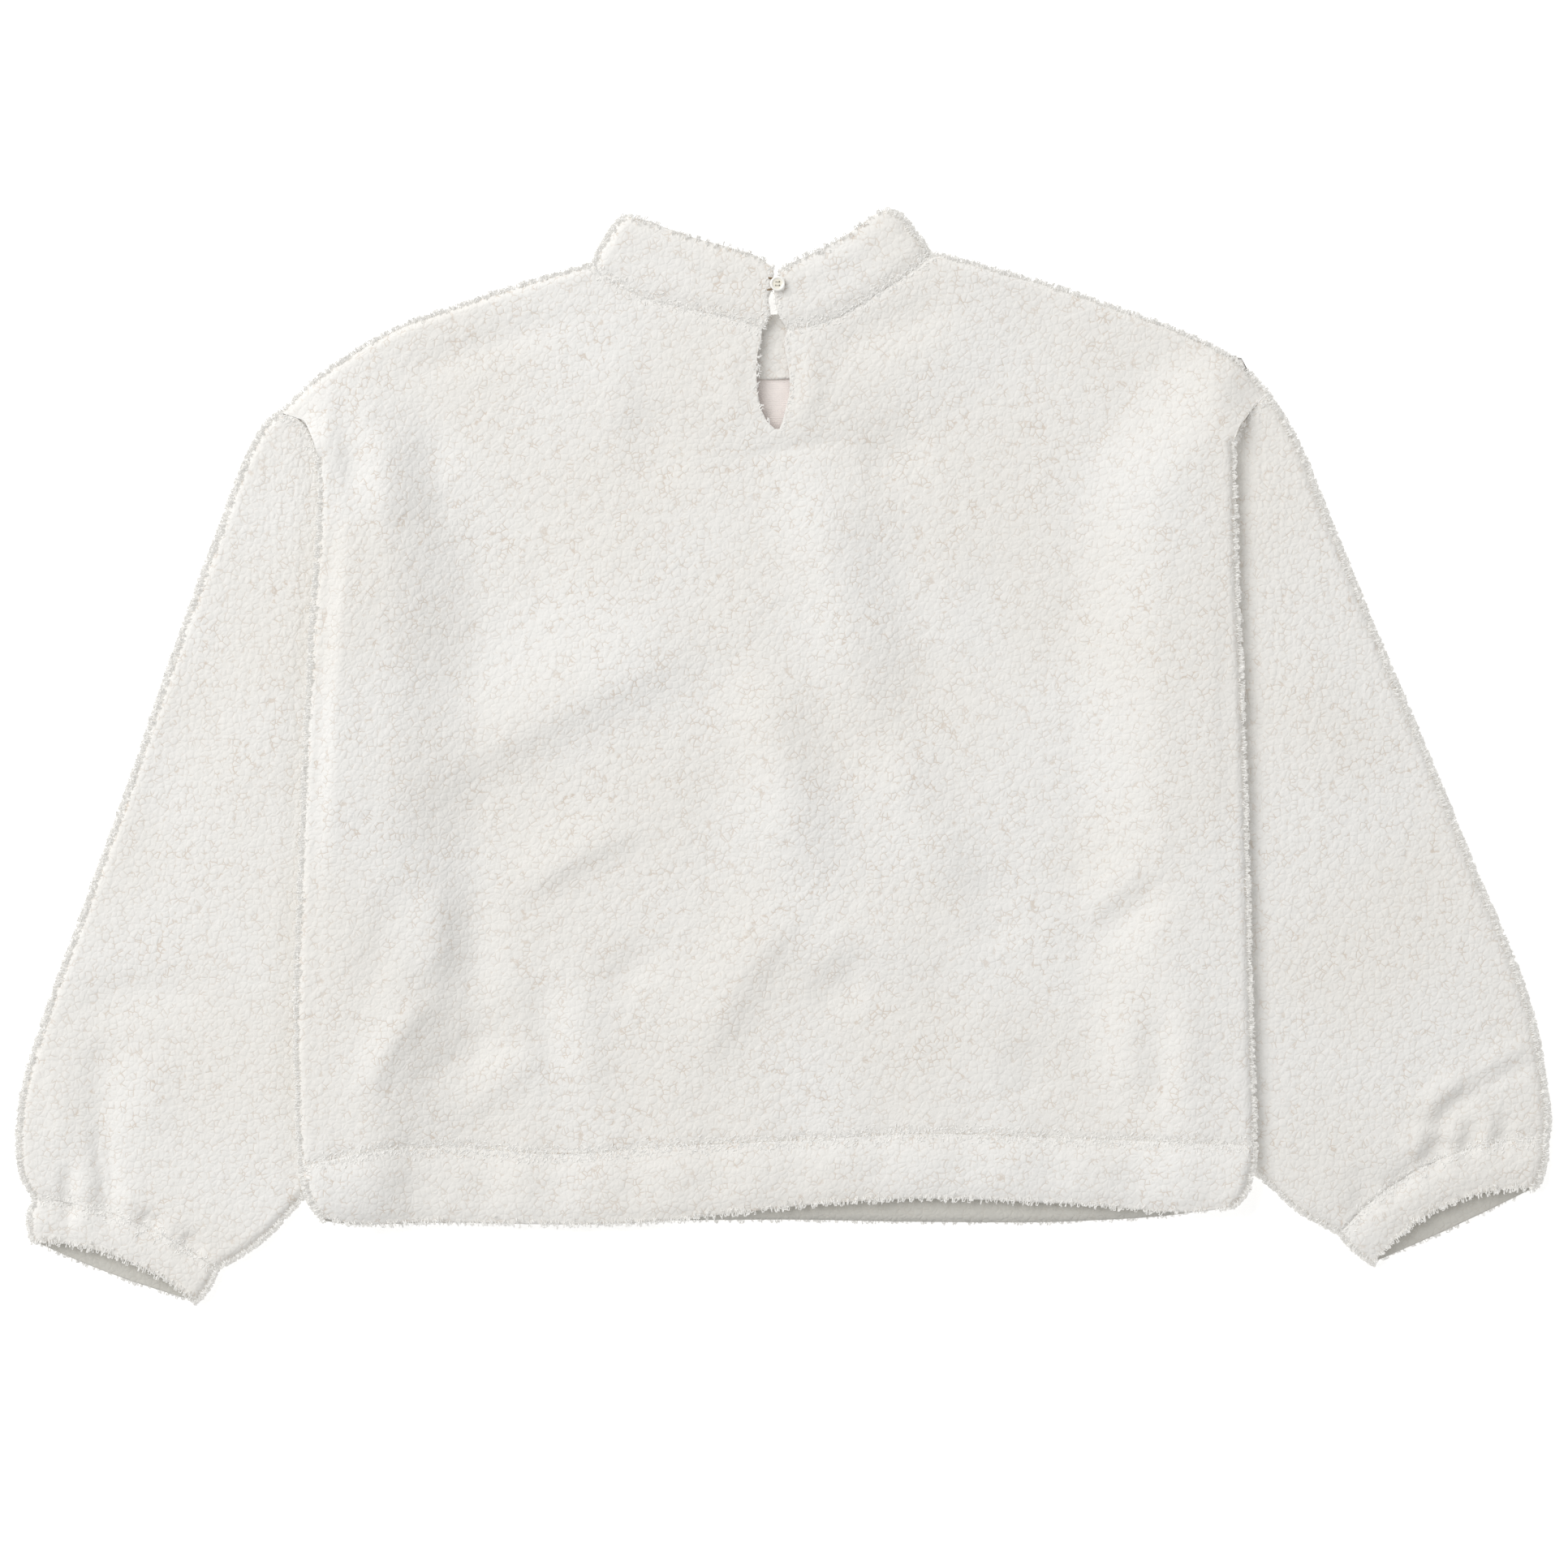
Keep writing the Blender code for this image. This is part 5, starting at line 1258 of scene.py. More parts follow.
def tubes(paths, radius, up, sides):
    """Points and triangles of many tubes, a ring of points round each place of each path.

    paths is count by places by 3, radius fits its first two axes, and up gives each path the
    direction that its rings start from. Both ends of a tube are closed.
    """
    tangent = np.gradient(paths, axis=1)
    side = unit(np.cross(tangent, up[:, None]))
    over = unit(np.cross(side, tangent))
    turns = 2 * math.pi * np.arange(sides) / sides
    ring = np.cos(turns)[:, None] * side[:, :, None] + np.sin(turns)[:, None] * over[:, :, None]
    points = paths[:, :, None] + radius[..., None, None] * ring
    ids = np.arange(points[..., 0].size).reshape(points.shape[:3])
    following = np.roll(ids, -1, axis=2)
    a, b, c, d = (q.ravel() for q in (ids[:, :-1], following[:, :-1], following[:, 1:], ids[:, 1:]))
    faces = halves(a, b, c, d)
    for k in range(1, sides - 1):
        faces.append(ids[:, 0][:, [0, k + 1, k]])
        faces.append(ids[:, -1][:, [0, k, k + 1]])
    return points.reshape(-1, 3), np.concatenate(faces)


# What the curls grow on: a piece's outer grid, its normals, whether its first and last lines
# join, and how thickly the curls of its rims and of its seams stand on each of its points
Face = namedtuple("Face", "grid normal around rim seam")
FACES = {}


def closed(grids, around):
    """Grids with their first line again after the last one, where they go all round a tube."""
    return [np.concatenate([grid, grid[:1]]) if around else grid for grid in grids]


def drawn_places(face, weight, count, rng):
    """Random places on a face with their normals: its cells are drawn by weight and by area."""
    grid, normal, weight = closed((face.grid, face.normal, weight), face.around)
    a, b = grid[:-1, :-1].reshape(-1, 3), grid[1:, :-1].reshape(-1, 3)
    c, d = grid[1:, 1:].reshape(-1, 3), grid[:-1, 1:].reshape(-1, 3)
    share = np.linalg.norm(np.cross(b - a, d - a), axis=1) * weight[:-1, :-1].ravel()
    pick = rng.choice(len(share), size=count, p=share / share.sum())
    s, t = rng.random((2, count, 1))
    place = (
        (1 - s) * (1 - t) * a[pick] + s * (1 - t) * b[pick]
        + s * t * c[pick] + (1 - s) * t * d[pick]
    )
    return place, normal[:-1, :-1].reshape(-1, 3)[pick], b[pick] - a[pick]


def curl_paths(face, weight, count, rng, look, scale):
    """Small arches that stand on a face, each with its own length, height, way and bend.

    At a fraction t of its length an arch is sin(pi t) of its height above the cloth, and it
    swings to one side and back. Its two ends are sunk into the cloth.
    """
    place, normal, along = drawn_places(face, weight, count, rng)
    along = unit(along - normal * np.sum(along * normal, axis=1, keepdims=True))
    aside = np.cross(normal, along)
    way = rng.uniform(0.0, 2 * math.pi, (count, 1))
    forward = along * np.cos(way) + aside * np.sin(way)
    sideways = np.cross(normal, forward)
    length = rng.uniform(*CURL_LENGTHS, (count, 1)) * look.curl_length / MM * scale.length
    height = rng.uniform(*CURL_HEIGHTS, (count, 1)) * look.curl_height / MM * scale.height
    swing = rng.uniform(-CURL_SWING, CURL_SWING, (count, 1)) * length
    t = np.linspace(0.0, 1.0, CURL_PLACES)
    paths = (
        place[:, None] + forward[:, None] * ((t - 0.5) * length)[..., None]
        + sideways[:, None] * (np.sin(2 * math.pi * t) * swing)[..., None]
        + normal[:, None] * (np.sin(math.pi * t) * height - CURL_SUNK)[..., None]
    )
    thick = rng.uniform(*CURL_RADII, (count, 1)) * look.curl_radius / MM * scale.radius
    radius = thick * (CURL_TIP + CURL_BELLY * np.sin(math.pi * t))
    paths[..., 2] = np.maximum(paths[..., 2], radius)
    return paths, radius, normal


def weighed_area(grid, weight, around):
    """The sum of a face's cells, each its area times its weight, in square millimetres."""
    grid, weight = closed((grid, weight), around)
    across, along = grid[1:, :-1] - grid[:-1, :-1], grid[:-1, 1:] - grid[:-1, :-1]
    return float(np.sum(np.linalg.norm(np.cross(across, along), axis=2) * weight[:-1, :-1]))


def curls(name, faces, kind, density, seed, look, scale):
    """One joined piece with the rim or seam curls of one or two faces, so many on each mm2."""
    rng = np.random.default_rng(seed)
    parts = []
    for face in faces:
        weight = getattr(face, kind)
        count = round(weighed_area(face.grid, weight, face.around) * density)
        if count:
            parts.append(tubes(*curl_paths(face, weight, count, rng, look, scale), CURL_SIDES))
    piece = new_piece(name, *scaled(joined(*parts)), [finish_named("loose curls")])
    piece.data.shade_flat()
    return attach(piece)


def seam_nearness(grid, rows):
    """How near each place of a grid is to the seams at some of its rows."""
    away = [np.linalg.norm(grid - grid[:, row][:, None], axis=-1) for row in rows]
    return nearness(np.min(away, axis=0), SEAM_SINK_REACH)


def attach(piece, node=None):
    """Lets a piece move with the garment and stand for its solid, if any, whose part it hides."""
    if node:
        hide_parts(node)
    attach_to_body(piece, "root")
    return piece


def keyhole_cut(panel):
    """Cuts the keyhole through a panel with an upright prism that is open past the neck seam."""
    sides = len(KEYHOLE_OUTLINE)
    points = np.array([(x, y, z) for z in KEYHOLE_CUT for x, y in KEYHOLE_OUTLINE]) * MM
    walls = [(k, (k + 1) % sides, sides + (k + 1) % sides, sides + k) for k in range(sides)]
    mesh = bpy.data.meshes.new("keyhole")
    mesh.from_pydata(points.tolist(), [], [range(sides)[::-1], range(sides, 2 * sides), *walls])
    cutter = bpy.data.objects.new("keyhole", mesh)
    bpy.context.scene.collection.objects.link(cutter)
    cut_out(panel, cutter)
    panel.data.shade_smooth()


def cut_out(piece, cutter):
    """Takes a cutter's form out of a piece, and the cutter away."""
    cut = piece.modifiers.new("cut", "BOOLEAN")
    cut.operation = "DIFFERENCE"
    cut.object = cutter
    apply_modifiers(piece)
    bpy.data.objects.remove(cutter)


def apply_modifiers(piece):
    """Bakes a piece's modifiers into its mesh."""
    graph = bpy.context.evaluated_depsgraph_get()
    mesh = bpy.data.meshes.new_from_object(piece.evaluated_get(graph))
    piece.modifiers.clear()
    piece.data = mesh


class Value:
    """A number socket that can stand in an expression: each operator adds one Math node."""

    def __init__(self, shader, socket):
        self.shader = shader
        self.socket = socket

    def math(self, operation, *others):
        """A Math node whose inputs are this value and the others."""
        node = self.shader.node(
            "ShaderNodeMath", {"operation": operation}, dict(enumerate((self, *others))),
        )
        return Value(self.shader, node.outputs[0])

    def __add__(self, other):
        return self.math("ADD", other)

    def __sub__(self, other):
        return self.math("SUBTRACT", other)

    def __rsub__(self, other):
        return (self * -1.0).math("ADD", other)

    def __mul__(self, other):
        return self.math("MULTIPLY", other)

    __radd__ = __add__
    __rmul__ = __mul__

    def step(self, low, high):
        """0 below low, 1 above high and smooth between them."""
        node = self.shader.node(
            "ShaderNodeMapRange", {"interpolation_type": "SMOOTHSTEP"}, {0: self, 1: low, 2: high},
        )
        return Value(self.shader, node.outputs[0])


class Shader:
    """A material and its nodes."""

    def __init__(self, name):
        self.material = bpy.data.materials.new(name)
        self.material.use_nodes = True
        self.tree = self.material.node_tree
        self.surface = self.tree.nodes["Principled BSDF"]
        self.place = self.node("ShaderNodeTexCoord").outputs["Object"]

    def fill(self, node, sockets):
        """Gives a node's sockets their values or links."""
        for key, value in sockets.items():
            value = getattr(value, "socket", value)
            if isinstance(value, bpy.types.NodeSocket):
                self.tree.links.new(value, node.inputs[key])
            else:
                node.inputs[key].default_value = value
        return node

    def node(self, kind, settings=None, sockets=None):
        """Adds a node: its settings first, then its sockets."""
        node = self.tree.nodes.new(kind)
        for name, value in (settings or {}).items():
            setattr(node, name, value)
        return self.fill(node, sockets or {})

    def finish(self, **sockets):
        """Sets the surface's sockets; an underscore in a name stands for a space."""
        self.fill(self.surface, {key.replace("_", " "): value for key, value in sockets.items()})
        return self.material

    def noise(self, size, detail=2.0, place=None):
        """Noise whose grains are about size across, in metres."""
        node = self.node("ShaderNodeTexNoise", None, {
            "Vector": place or self.place, "Scale": 1.0 / size, "Detail": detail,
        })
        return Value(self, node.outputs["Fac"])

    def cell(self, size, feature, place=None):
        """Voronoi cells of a size in metres: the distance to a seed, or to the cell's edge."""
        node = self.node("ShaderNodeTexVoronoi", {"feature": feature}, {
            "Vector": place or self.place, "Scale": 1.0 / size,
        })
        return Value(self, node.outputs["Distance"])

    def attribute(self, name):
        """A number that the mesh holds at each of its points."""
        return Value(self, self.node("ShaderNodeAttribute", {"attribute_name": name}).outputs["Fac"])

    def moved(self, size, reach):
        """The surface's place, carried up to reach metres aside by noise of a size in metres."""
        drift = self.node("ShaderNodeTexNoise", None, {
            "Vector": self.place, "Scale": 1.0 / size, "Detail": 2.0,
        })
        moved = self.node("ShaderNodeVectorMath", {"operation": "MULTIPLY_ADD"}, {
            0: drift.outputs["Color"], 1: (2 * reach,) * 3, 2: self.place,
        })
        return moved.outputs[0]

    def mix(self, share, first, second):
        """A colour between two others."""
        node = self.node("ShaderNodeMix", {"data_type": "RGBA"}, {0: share})
        for key, colour in ((6, first), (7, second)):
            made = isinstance(colour, bpy.types.NodeSocket)
            self.fill(node, {key: colour if made else (*colour, 1.0)})
        return node.outputs[2]

    def bump(self, height, distance):
        """A normal that follows a height of up to distance metres."""
        return self.node("ShaderNodeBump", None, {"Height": height, "Distance": distance}).outputs[0]


def pile_finish(look):
    """Curled pile: small round lumps of fibre parted by thin cracks of painted shade, deeper in
    patches.
    """
    shader = Shader("pile")
    place = shader.moved(0.006, 0.0013)
    lump_size = 0.0038
    edge = shader.cell(lump_size, "DISTANCE_TO_EDGE", place)
    crack = 1.0 - edge.step(0.0, 0.1)
    away = shader.cell(lump_size, "F1", place)
    lump = 0.6 * edge.step(0.0, 0.3) - 0.6 * away * away
    fleck = shader.cell(0.0018, "F1", place)
    fibre = shader.noise(0.0007, 2.0, place)
    arcs = shader.noise(0.006, 2.0).step(0.46, 0.6)
    patches = shader.noise(0.03, 2.0).step(0.35, 0.7)
    # Painted shade that the mesh marks between curls, in deep creases, on rims and inside the bands
    painted_shade_mask = shader.attribute("gap").step(0.5, 1.0)
    # Painted shade in the cracks, in patches, and where the mesh marks it, plus faint random flecks
    shade = crack * arcs * (0.55 + 0.4 * patches) + 0.35 * painted_shade_mask + 0.06 * fleck
    soft = shader.noise(0.11, 1.0).step(0.35, 0.7)
    light = shader.mix(soft, look.pile_colour, look.pile_cool)
    # Painted shade, darker still, on the inner faces seen in the hem's and cuffs' mouths
    inside = shader.attribute("gap").step(0.9, 1.0) * 0.8
    colour = shader.mix(inside, shader.mix(shade, light, look.pile_painted_shade), look.pile_inside_painted_shade)
    height = lump - 0.15 * fleck + 0.2 * fibre - 0.15 * crack * arcs
    return shader.finish(
        Base_Color=colour, Roughness=0.95, Sheen_Weight=0.25, Sheen_Roughness=0.6,
        Specular_IOR_Level=0.15, Normal=shader.bump(height, 0.00024),
    )


def curl_finish(look):
    """Loose curls: pale fibre with a painted glow, so that no side of it is dark."""
    shader = Shader("loose curls")
    tone = shader.noise(0.002, 2.0).step(0.3, 0.7)
    # The curls glow with painted light in the pile's paler colour, so that their shaded sides stay
    # pale; their own colour is dimmed to match
    base = [tuple(share * c for c in look.pile_cool) for share in CURL_BASE]
    return shader.finish(
        Base_Color=shader.mix(tone, *base), Roughness=0.95, Specular_IOR_Level=0.1,
        Emission_Color=(*look.pile_cool, 1.0), Emission_Strength=CURL_PAINTED_GLOW,
        Normal=shader.bump(shader.noise(0.0006, 2.0), 0.0001),
    )


def knit_finish(look):
    """The cloth's wrong side: a flat, brushed knit with fine rows."""
    shader = Shader("knit")
    row = shader.node("ShaderNodeTexWave", {"bands_direction": "Y"}, {
        "Vector": shader.moved(0.01, 0.0004), "Scale": 260.0, "Distortion": 1.5,
    })
    fluff = shader.noise(0.0016, 4.0)
    height = 0.3 * Value(shader, row.outputs["Fac"]) + 0.7 * fluff
    shade = shader.noise(0.012, 3.0).step(0.35, 0.7)
    return shader.finish(
        Base_Color=shader.mix(shade, look.knit_colour, tuple(0.9 * c for c in look.knit_colour)),
        Roughness=0.92, Sheen_Weight=0.15, Specular_IOR_Level=0.2, Normal=shader.bump(height, 0.0003),
    )


def thread_finish(name, colour):
    """Twisted thread: fine slanting strands."""
    shader = Shader(name)
    strand = shader.node("ShaderNodeTexWave", {"bands_direction": "DIAGONAL"}, {
        "Vector": shader.place, "Scale": 900.0, "Distortion": 1.0,
    })
    twist = Value(shader, strand.outputs["Fac"])
    dark = tuple(0.62 * c for c in colour)
    return shader.finish(
        Base_Color=shader.mix(twist, dark, colour), Roughness=0.8, Normal=shader.bump(twist, 0.00015),
    )


def button_finish(look):
    """Clear moulded plastic: pale at the rim and yellow-brown over the cloth in the middle, with a
    faint painted glow that lifts its shade.
    """
    shader = Shader("button plastic")
    centre = (BUTTON_AT.x * MM, BUTTON_AT.y * MM, 0.0)
    flat = shader.node(
        "ShaderNodeVectorMath", {"operation": "MULTIPLY"}, {0: shader.place, 1: (1, 1, 0)},
    )
    away = shader.node(
        "ShaderNodeVectorMath", {"operation": "DISTANCE"}, {0: flat.outputs[0], 1: centre},
    )
    out = Value(shader, away.outputs["Value"])
    rim = out.step(0.0024, 0.0040)
    cloudy = shader.noise(0.0012, 3.0).step(0.3, 0.7)
    middle = shader.mix(cloudy, look.button_middle, tuple(0.9 * c for c in look.button_middle))
    # A faint painted glow in the middle's colour lifts the button's shade
    return shader.finish(
        Base_Color=shader.mix(rim, middle, look.button_colour), Roughness=0.2, Coat_Weight=0.5,
        Coat_Roughness=0.08, Normal=shader.bump(shader.noise(0.003, 2.0), 0.00005),
        Emission_Color=(*look.button_middle, 1.0), Emission_Strength=0.1,
    )


def floor_finish(look):
    """A matt, nearly white floor."""
    shader = Shader("floor")
    tone = shader.noise(0.5, 2.0)
    return shader.finish(
        Base_Color=shader.mix(tone, look.floor_colour, tuple(0.99 * c for c in look.floor_colour)),
        Roughness=0.9, Emission_Color=(1.0, 1.0, 1.0, 1.0), Emission_Strength=look.floor_glow,
    )


FINISHES = {
    "pile": lambda scene: pile_finish(scene.pullover_pile),
    "loose curls": lambda scene: curl_finish(scene.pullover_pile),
    "knit": lambda scene: knit_finish(scene.pullover_pile),
    "cream thread": lambda scene: thread_finish("cream thread", scene.pullover_pile.thread_colour),
    "tan thread": lambda scene: thread_finish("tan thread", scene.pullover_button.thread_colour),
    "button plastic": lambda scene: button_finish(scene.pullover_button),
    "floor": lambda scene: floor_finish(scene.pullover_stage),
}


def finish_named(name):
    """A finish from the list, made the first time that it is asked for."""
    return bpy.data.materials.get(name) or FINISHES[name](bpy.context.scene)


def colour_property(name, text, default):
    """A colour in the panel."""
    return FloatVectorProperty(
        name=name, description=text, default=default, size=3, min=0.0, max=1.0, subtype="COLOR",
    )


def size_property(name, text, default):
    """A length in the panel, in metres."""
    return FloatProperty(
        name=name, description=text, default=default, min=0.0, unit="LENGTH", precision=5,
    )


class PULLOVER_PG_pile(bpy.types.PropertyGroup):
    """The pile's curls and the cloth's colours."""
    curl_length: size_property("Curl length", "Usual length of a curl", 0.0030)
    curl_height: size_property("Curl height", "How far a curl stands up from the cloth", 0.0011)
    curl_radius: size_property("Curl thickness", "Half the thickness of a curl", 0.00055)
    curls: FloatProperty(
        name="Curls", description="How many curls stand on a square millimetre along the seams",
        default=0.5, min=0.0,
    )
    fringe: FloatProperty(
        name="Fringe", description="How many curls stand on a square millimetre of the outline",
        default=0.75, min=0.0,
    )
    pile_colour: colour_property(
        "Pile", "The pile's main colour", (0.865, 0.845, 0.805),
    )
    pile_cool: colour_property(
        "Pile in the light", "The pile's colour in its paler parts", (0.88, 0.868, 0.84),
    )
    # Painted shade: the colour that crevices, deep creases and rims are darkened towards
    pile_painted_shade: colour_property(
        "Gaps", "The colour between the curls", (0.70, 0.62, 0.54),
    )
    # Painted shade on the inner faces seen in the hem's and cuffs' mouths
    pile_inside_painted_shade: colour_property(
        "Inside", "The pile's colour inside the hem and the cuffs", (0.60, 0.59, 0.54),
    )
    knit_colour: colour_property(
        "Wrong side", "The colour of the cloth's wrong side", (0.95, 0.88, 0.845),
    )
    thread_colour: colour_property(
        "Seam thread", "The colour of the stitches", (0.80, 0.76, 0.68),
    )


class PULLOVER_PG_button(bpy.types.PropertyGroup):
    """The button and its loop."""
    button_colour: colour_property(
        "Rim", "The plastic's colour at the rim", (0.88, 0.87, 0.84),
    )
    button_middle: colour_property(
        "Middle", "The plastic's colour in the middle", (0.88, 0.84, 0.72),
    )
    thread_colour: colour_property(
        "Loop", "The colour of the loop round the button", (0.36, 0.25, 0.15),
    )


class PULLOVER_PG_stage(bpy.types.PropertyGroup):
    """Floor, light and camera."""
    camera_height: size_property("Camera height", "How high the camera is above the garment", 4.0)
    view_width: size_property("View width", "The width that the camera sees on the garment", 1.00464)
    key_power: FloatProperty(
        name="Key light", description="Power of the large soft light",
        default=285.0, min=0.0, unit="POWER",
    )
    ambient: FloatProperty(
        name="Ambient light", description="Strength of the light from all round",
        default=0.555, min=0.0,
    )
    floor_colour: colour_property("Floor", "The floor's colour", (0.96, 0.96, 0.955))
    floor_glow: FloatProperty(
        name="Floor glow", description="How far the floor's own light fills its shadows",
        default=0.42, min=0.0,
    )


# The cloth that shows of each piece, cut out flat: its width and length, its area in all, in
# metres, and what it lies on
Cut = namedtuple("Cut", "width length area rests_on")
CUTS = {
    "back_panel": Cut(0.64, 0.60, 0.345, ("front_panel", "sleeve_left", "sleeve_right")),
    "front_panel": Cut(0.64, 0.60, 0.340, ("floor", "sleeve_left", "sleeve_right")),
    "sleeve_left": Cut(0.42, 0.54, 0.165, ("floor",)),
    "sleeve_right": Cut(0.42, 0.54, 0.160, ("floor",)),
    "cuff_left": Cut(0.26, 0.03, 0.007, ("floor",)),
    "cuff_right": Cut(0.26, 0.03, 0.007, ("floor",)),
    "hem_band": Cut(1.24, 0.05, 0.056, ("floor", "sleeve_left", "sleeve_right")),
    "collar": Cut(0.44, 0.06, 0.021, ("back_panel", "front_panel")),
}


def fold_curls(outer, normal):
    """How thickly curls stand along a doubled piece's fold, and the ways they lean out there."""
    out = unit((outer[:, -1] - outer[:, -1 - FOLD_ROWS]) * (1.0, 1.0, 0.0))
    fold = nearness(np.linalg.norm(outer - outer[:, -1:], axis=-1), FOLD_FRINGE)
    fold = fold * (outer[..., 2] > RIM_ABOVE)
    return fold, unit(normal + FOLD_LEAN * fold[..., None] * out[:, None])


def cloth_piece(name, grids, around, skip, seam, creases=(), sink=0.0, second=False, seen=1.0):
    """Makes one cloth piece: relief on its outer grid, an inner face, and its place among FACES.

    seam says how near each place is to a seam. sink says where the relief only goes inwards; a
    face that touches the floor always sinks. The pile gets painted shade between its curls, in the
    deep creases and on its rims. With second, the inner face has pile too, as on the stand collar.
    seen is 0 where another piece covers it.
    """
    outer, inner = grids
    x, y, z = np.moveaxis(outer, -1, 0)
    on_floor = 1.0 - ease(z, *FLOOR_TOUCH)
    fine, normal, deep = add_pile(outer, inner, around, np.maximum(on_floor, sink))
    fine[..., 2] = np.maximum(fine[..., 2], 0.0)
    rim = (1.0 - ease(np.abs(normal[..., 2]), *RIM_FACING)) * seen * (z > RIM_ABOVE)
    fringe = rim * (LOW_FRINGE + (1.0 - LOW_FRINGE) * ease(z, *LOW_FRINGE_RISE))
    if name in FOLDED:
        fold, normal = fold_curls(outer, normal)
        fringe = np.maximum(fringe, fold)
    FACES[name] = Face(fine, normal, around, fringe, seam * seen * (z > CURLS_ABOVE))
    painted_shade_mask = ease(-crease_rise(x, y, creases), *CREASE_PAINTED_SHADE) * (z > CURLS_ABOVE)
    # Painted shade: between curls, in deep creases that show, and on rims
    deep = np.maximum.reduce([GAP_SHADE * deep, painted_shade_mask * seen, RIM_SHADE * rim])
    finishes = [finish_named("pile")]
    if second:
        inner, inner_normal, _ = add_pile(inner, outer, around, on_floor)
        rim = 1.0 - ease(np.abs(inner_normal[..., 2]), *RIM_FACING)
        FACES[name + "_inside"] = Face(inner, inner_normal, around, rim, np.zeros(rim.shape))
    elif name not in FOLDED:
        finishes.append(finish_named("knit"))
    # Full painted shade on the bands' inner faces, which show in their mouths
    shade = 1.0 if name in BANDS else 0.0
    piece = shell(name + "_cloth", fine, inner, around, skip, deep, shade, finishes)
    return attach(piece, name)


class PULLOVER_OT_panels(bpy.types.Operator):
    """Build the back and the front panel"""
    bl_idname = "pullover.panels"
    bl_label = "Panels"

    def execute(self, context):
        u, v = panel_stops(BACK_GRID)
        grids = panel_grids(back_face, panel_plan(NECK_BACK, u, v), u, v)
        x, y = grids[0][..., 0], grids[0][..., 1]
        round_it = nearness(path_distance(x, y, KEYHOLE_OUTLINE), KEYHOLE_FRINGE)
        seam = np.maximum(seam_dip(x, y) / SEAM_SINK, round_it)
        seen = 1.0 * ~inside(x, y, KEYHOLE_OUTLINE)
        back = cloth_piece("back_panel", grids, False, BACK_GRID.skip, seam, BACK_CREASES, seen=seen)
        keyhole_cut(back)
        u, v = panel_stops(FRONT_GRID)
        grids = panel_grids(front_face, panel_plan(NECK_FRONT, u, v), u, v)
        seam = np.zeros(grids[0].shape[:2])
        cloth_piece("front_panel", grids, False, FRONT_GRID.skip, seam, sink=1.0)
        return {"FINISHED"}


class PULLOVER_OT_sleeves(bpy.types.Operator):
    """Build both sleeves"""
    bl_idname = "pullover.sleeves"
    bl_label = "Sleeves"

    def execute(self, context):
        for side, arm in ARMS.items():
            grids = sleeve_grids(side)
            x, y, z = np.moveaxis(grids[0], -1, 0)
            seen = ease(arm.sign * (side_x(y, side) - x), -SLEEVE_COVER, 0.0)
            hidden = (1.0 - seen) * (z > SLEEVE_COVER_ABOVE)
            cloth_piece(
                f"sleeve_{side}", grids, True, SLEEVE_GRID.skip, seam_nearness(grids[0], (0, -1)),
                arm.creases, sink=hidden, seen=1.0 - hidden,
            )
        return {"FINISHED"}


class PULLOVER_OT_cuffs(bpy.types.Operator):
    """Build both gathered cuffs"""
    bl_idname = "pullover.cuffs"
    bl_label = "Cuffs"

    def execute(self, context):
        for side, arm in ARMS.items():
            grids = cuff_grids(side)
            seam = seam_nearness(grids[0], (0,))
            cloth_piece(f"cuff_{side}", grids, True, CUFF_GRID.skip, seam, arm.creases)
        return {"FINISHED"}


class PULLOVER_OT_hem_band(bpy.types.Operator):
    """Build the doubled band round the hem"""
    bl_idname = "pullover.hem_band"
    bl_label = "Hem band"

    def execute(self, context):
        grids = hem_grids()
        cloth_piece("hem_band", grids, True, HEM_GRID.skip, seam_nearness(grids[0], (0,)))
        return {"FINISHED"}


class PULLOVER_OT_collar(bpy.types.Operator):
    """Build the doubled stand collar"""
    bl_idname = "pullover.collar"
    bl_label = "Collar"

    def execute(self, context):
        grids = collar_grids()
        ends = seam_nearness(grids[0].swapaxes(0, 1), (0, -1)).T
        seam = np.maximum(seam_nearness(grids[0], (0,)), ends)
        cloth_piece("collar", grids, False, COLLAR_GRID.skip, seam, second=True)
        return {"FINISHED"}


class PULLOVER_OT_curls(bpy.types.Operator):
    """Cover each cloth piece with its curls"""
    bl_idname = "pullover.curls"
    bl_label = "Curls"

    def execute(self, context):
        if not FACES:
            raise RuntimeError("Build the cloth pieces first")
        look = context.scene.pullover_pile
        for seed, (name, cut) in enumerate(CUTS.items()):
            faces = [face for key, face in FACES.items() if key.startswith(name)]
            kinds = [("_fringe", "rim", look.fringe, RIM_SEED, RIM_CURL)]
            if name != "front_panel":
                kinds.append(("_curls", "seam", look.curls, SEAM_SEED, SEAM_CURL))
            pieces = [
                curls(name + ending, faces, kind, density, first + seed, look, scale)
                for ending, kind, density, first, scale in kinds
            ]
        return {"FINISHED"}


def seam_stitches(line, height):
    """Short stitches along a seam: each dips into the cloth at both ends."""
    reach = STITCH_LENGTH / np.linalg.norm(np.array(line[-1]) - np.array(line[0]))
    t = np.linspace(-0.5, 0.5, STITCH_PLACES)
    stops = (between(STITCHES)[:, None] + t * reach).ravel()
    places = smooth_curve(line, stops).reshape(STITCHES, STITCH_PLACES, 2)
    level = height(places[..., 0], places[..., 1]) - STITCH_DIP * (2 * t) ** 2
    paths = np.concatenate([places, level[..., None]], axis=-1)
    up = np.broadcast_to((0.0, 0.0, 1.0), (STITCHES, 3))
    return tubes(paths, np.full(paths.shape[:2], STITCH_RADIUS), up, 5)


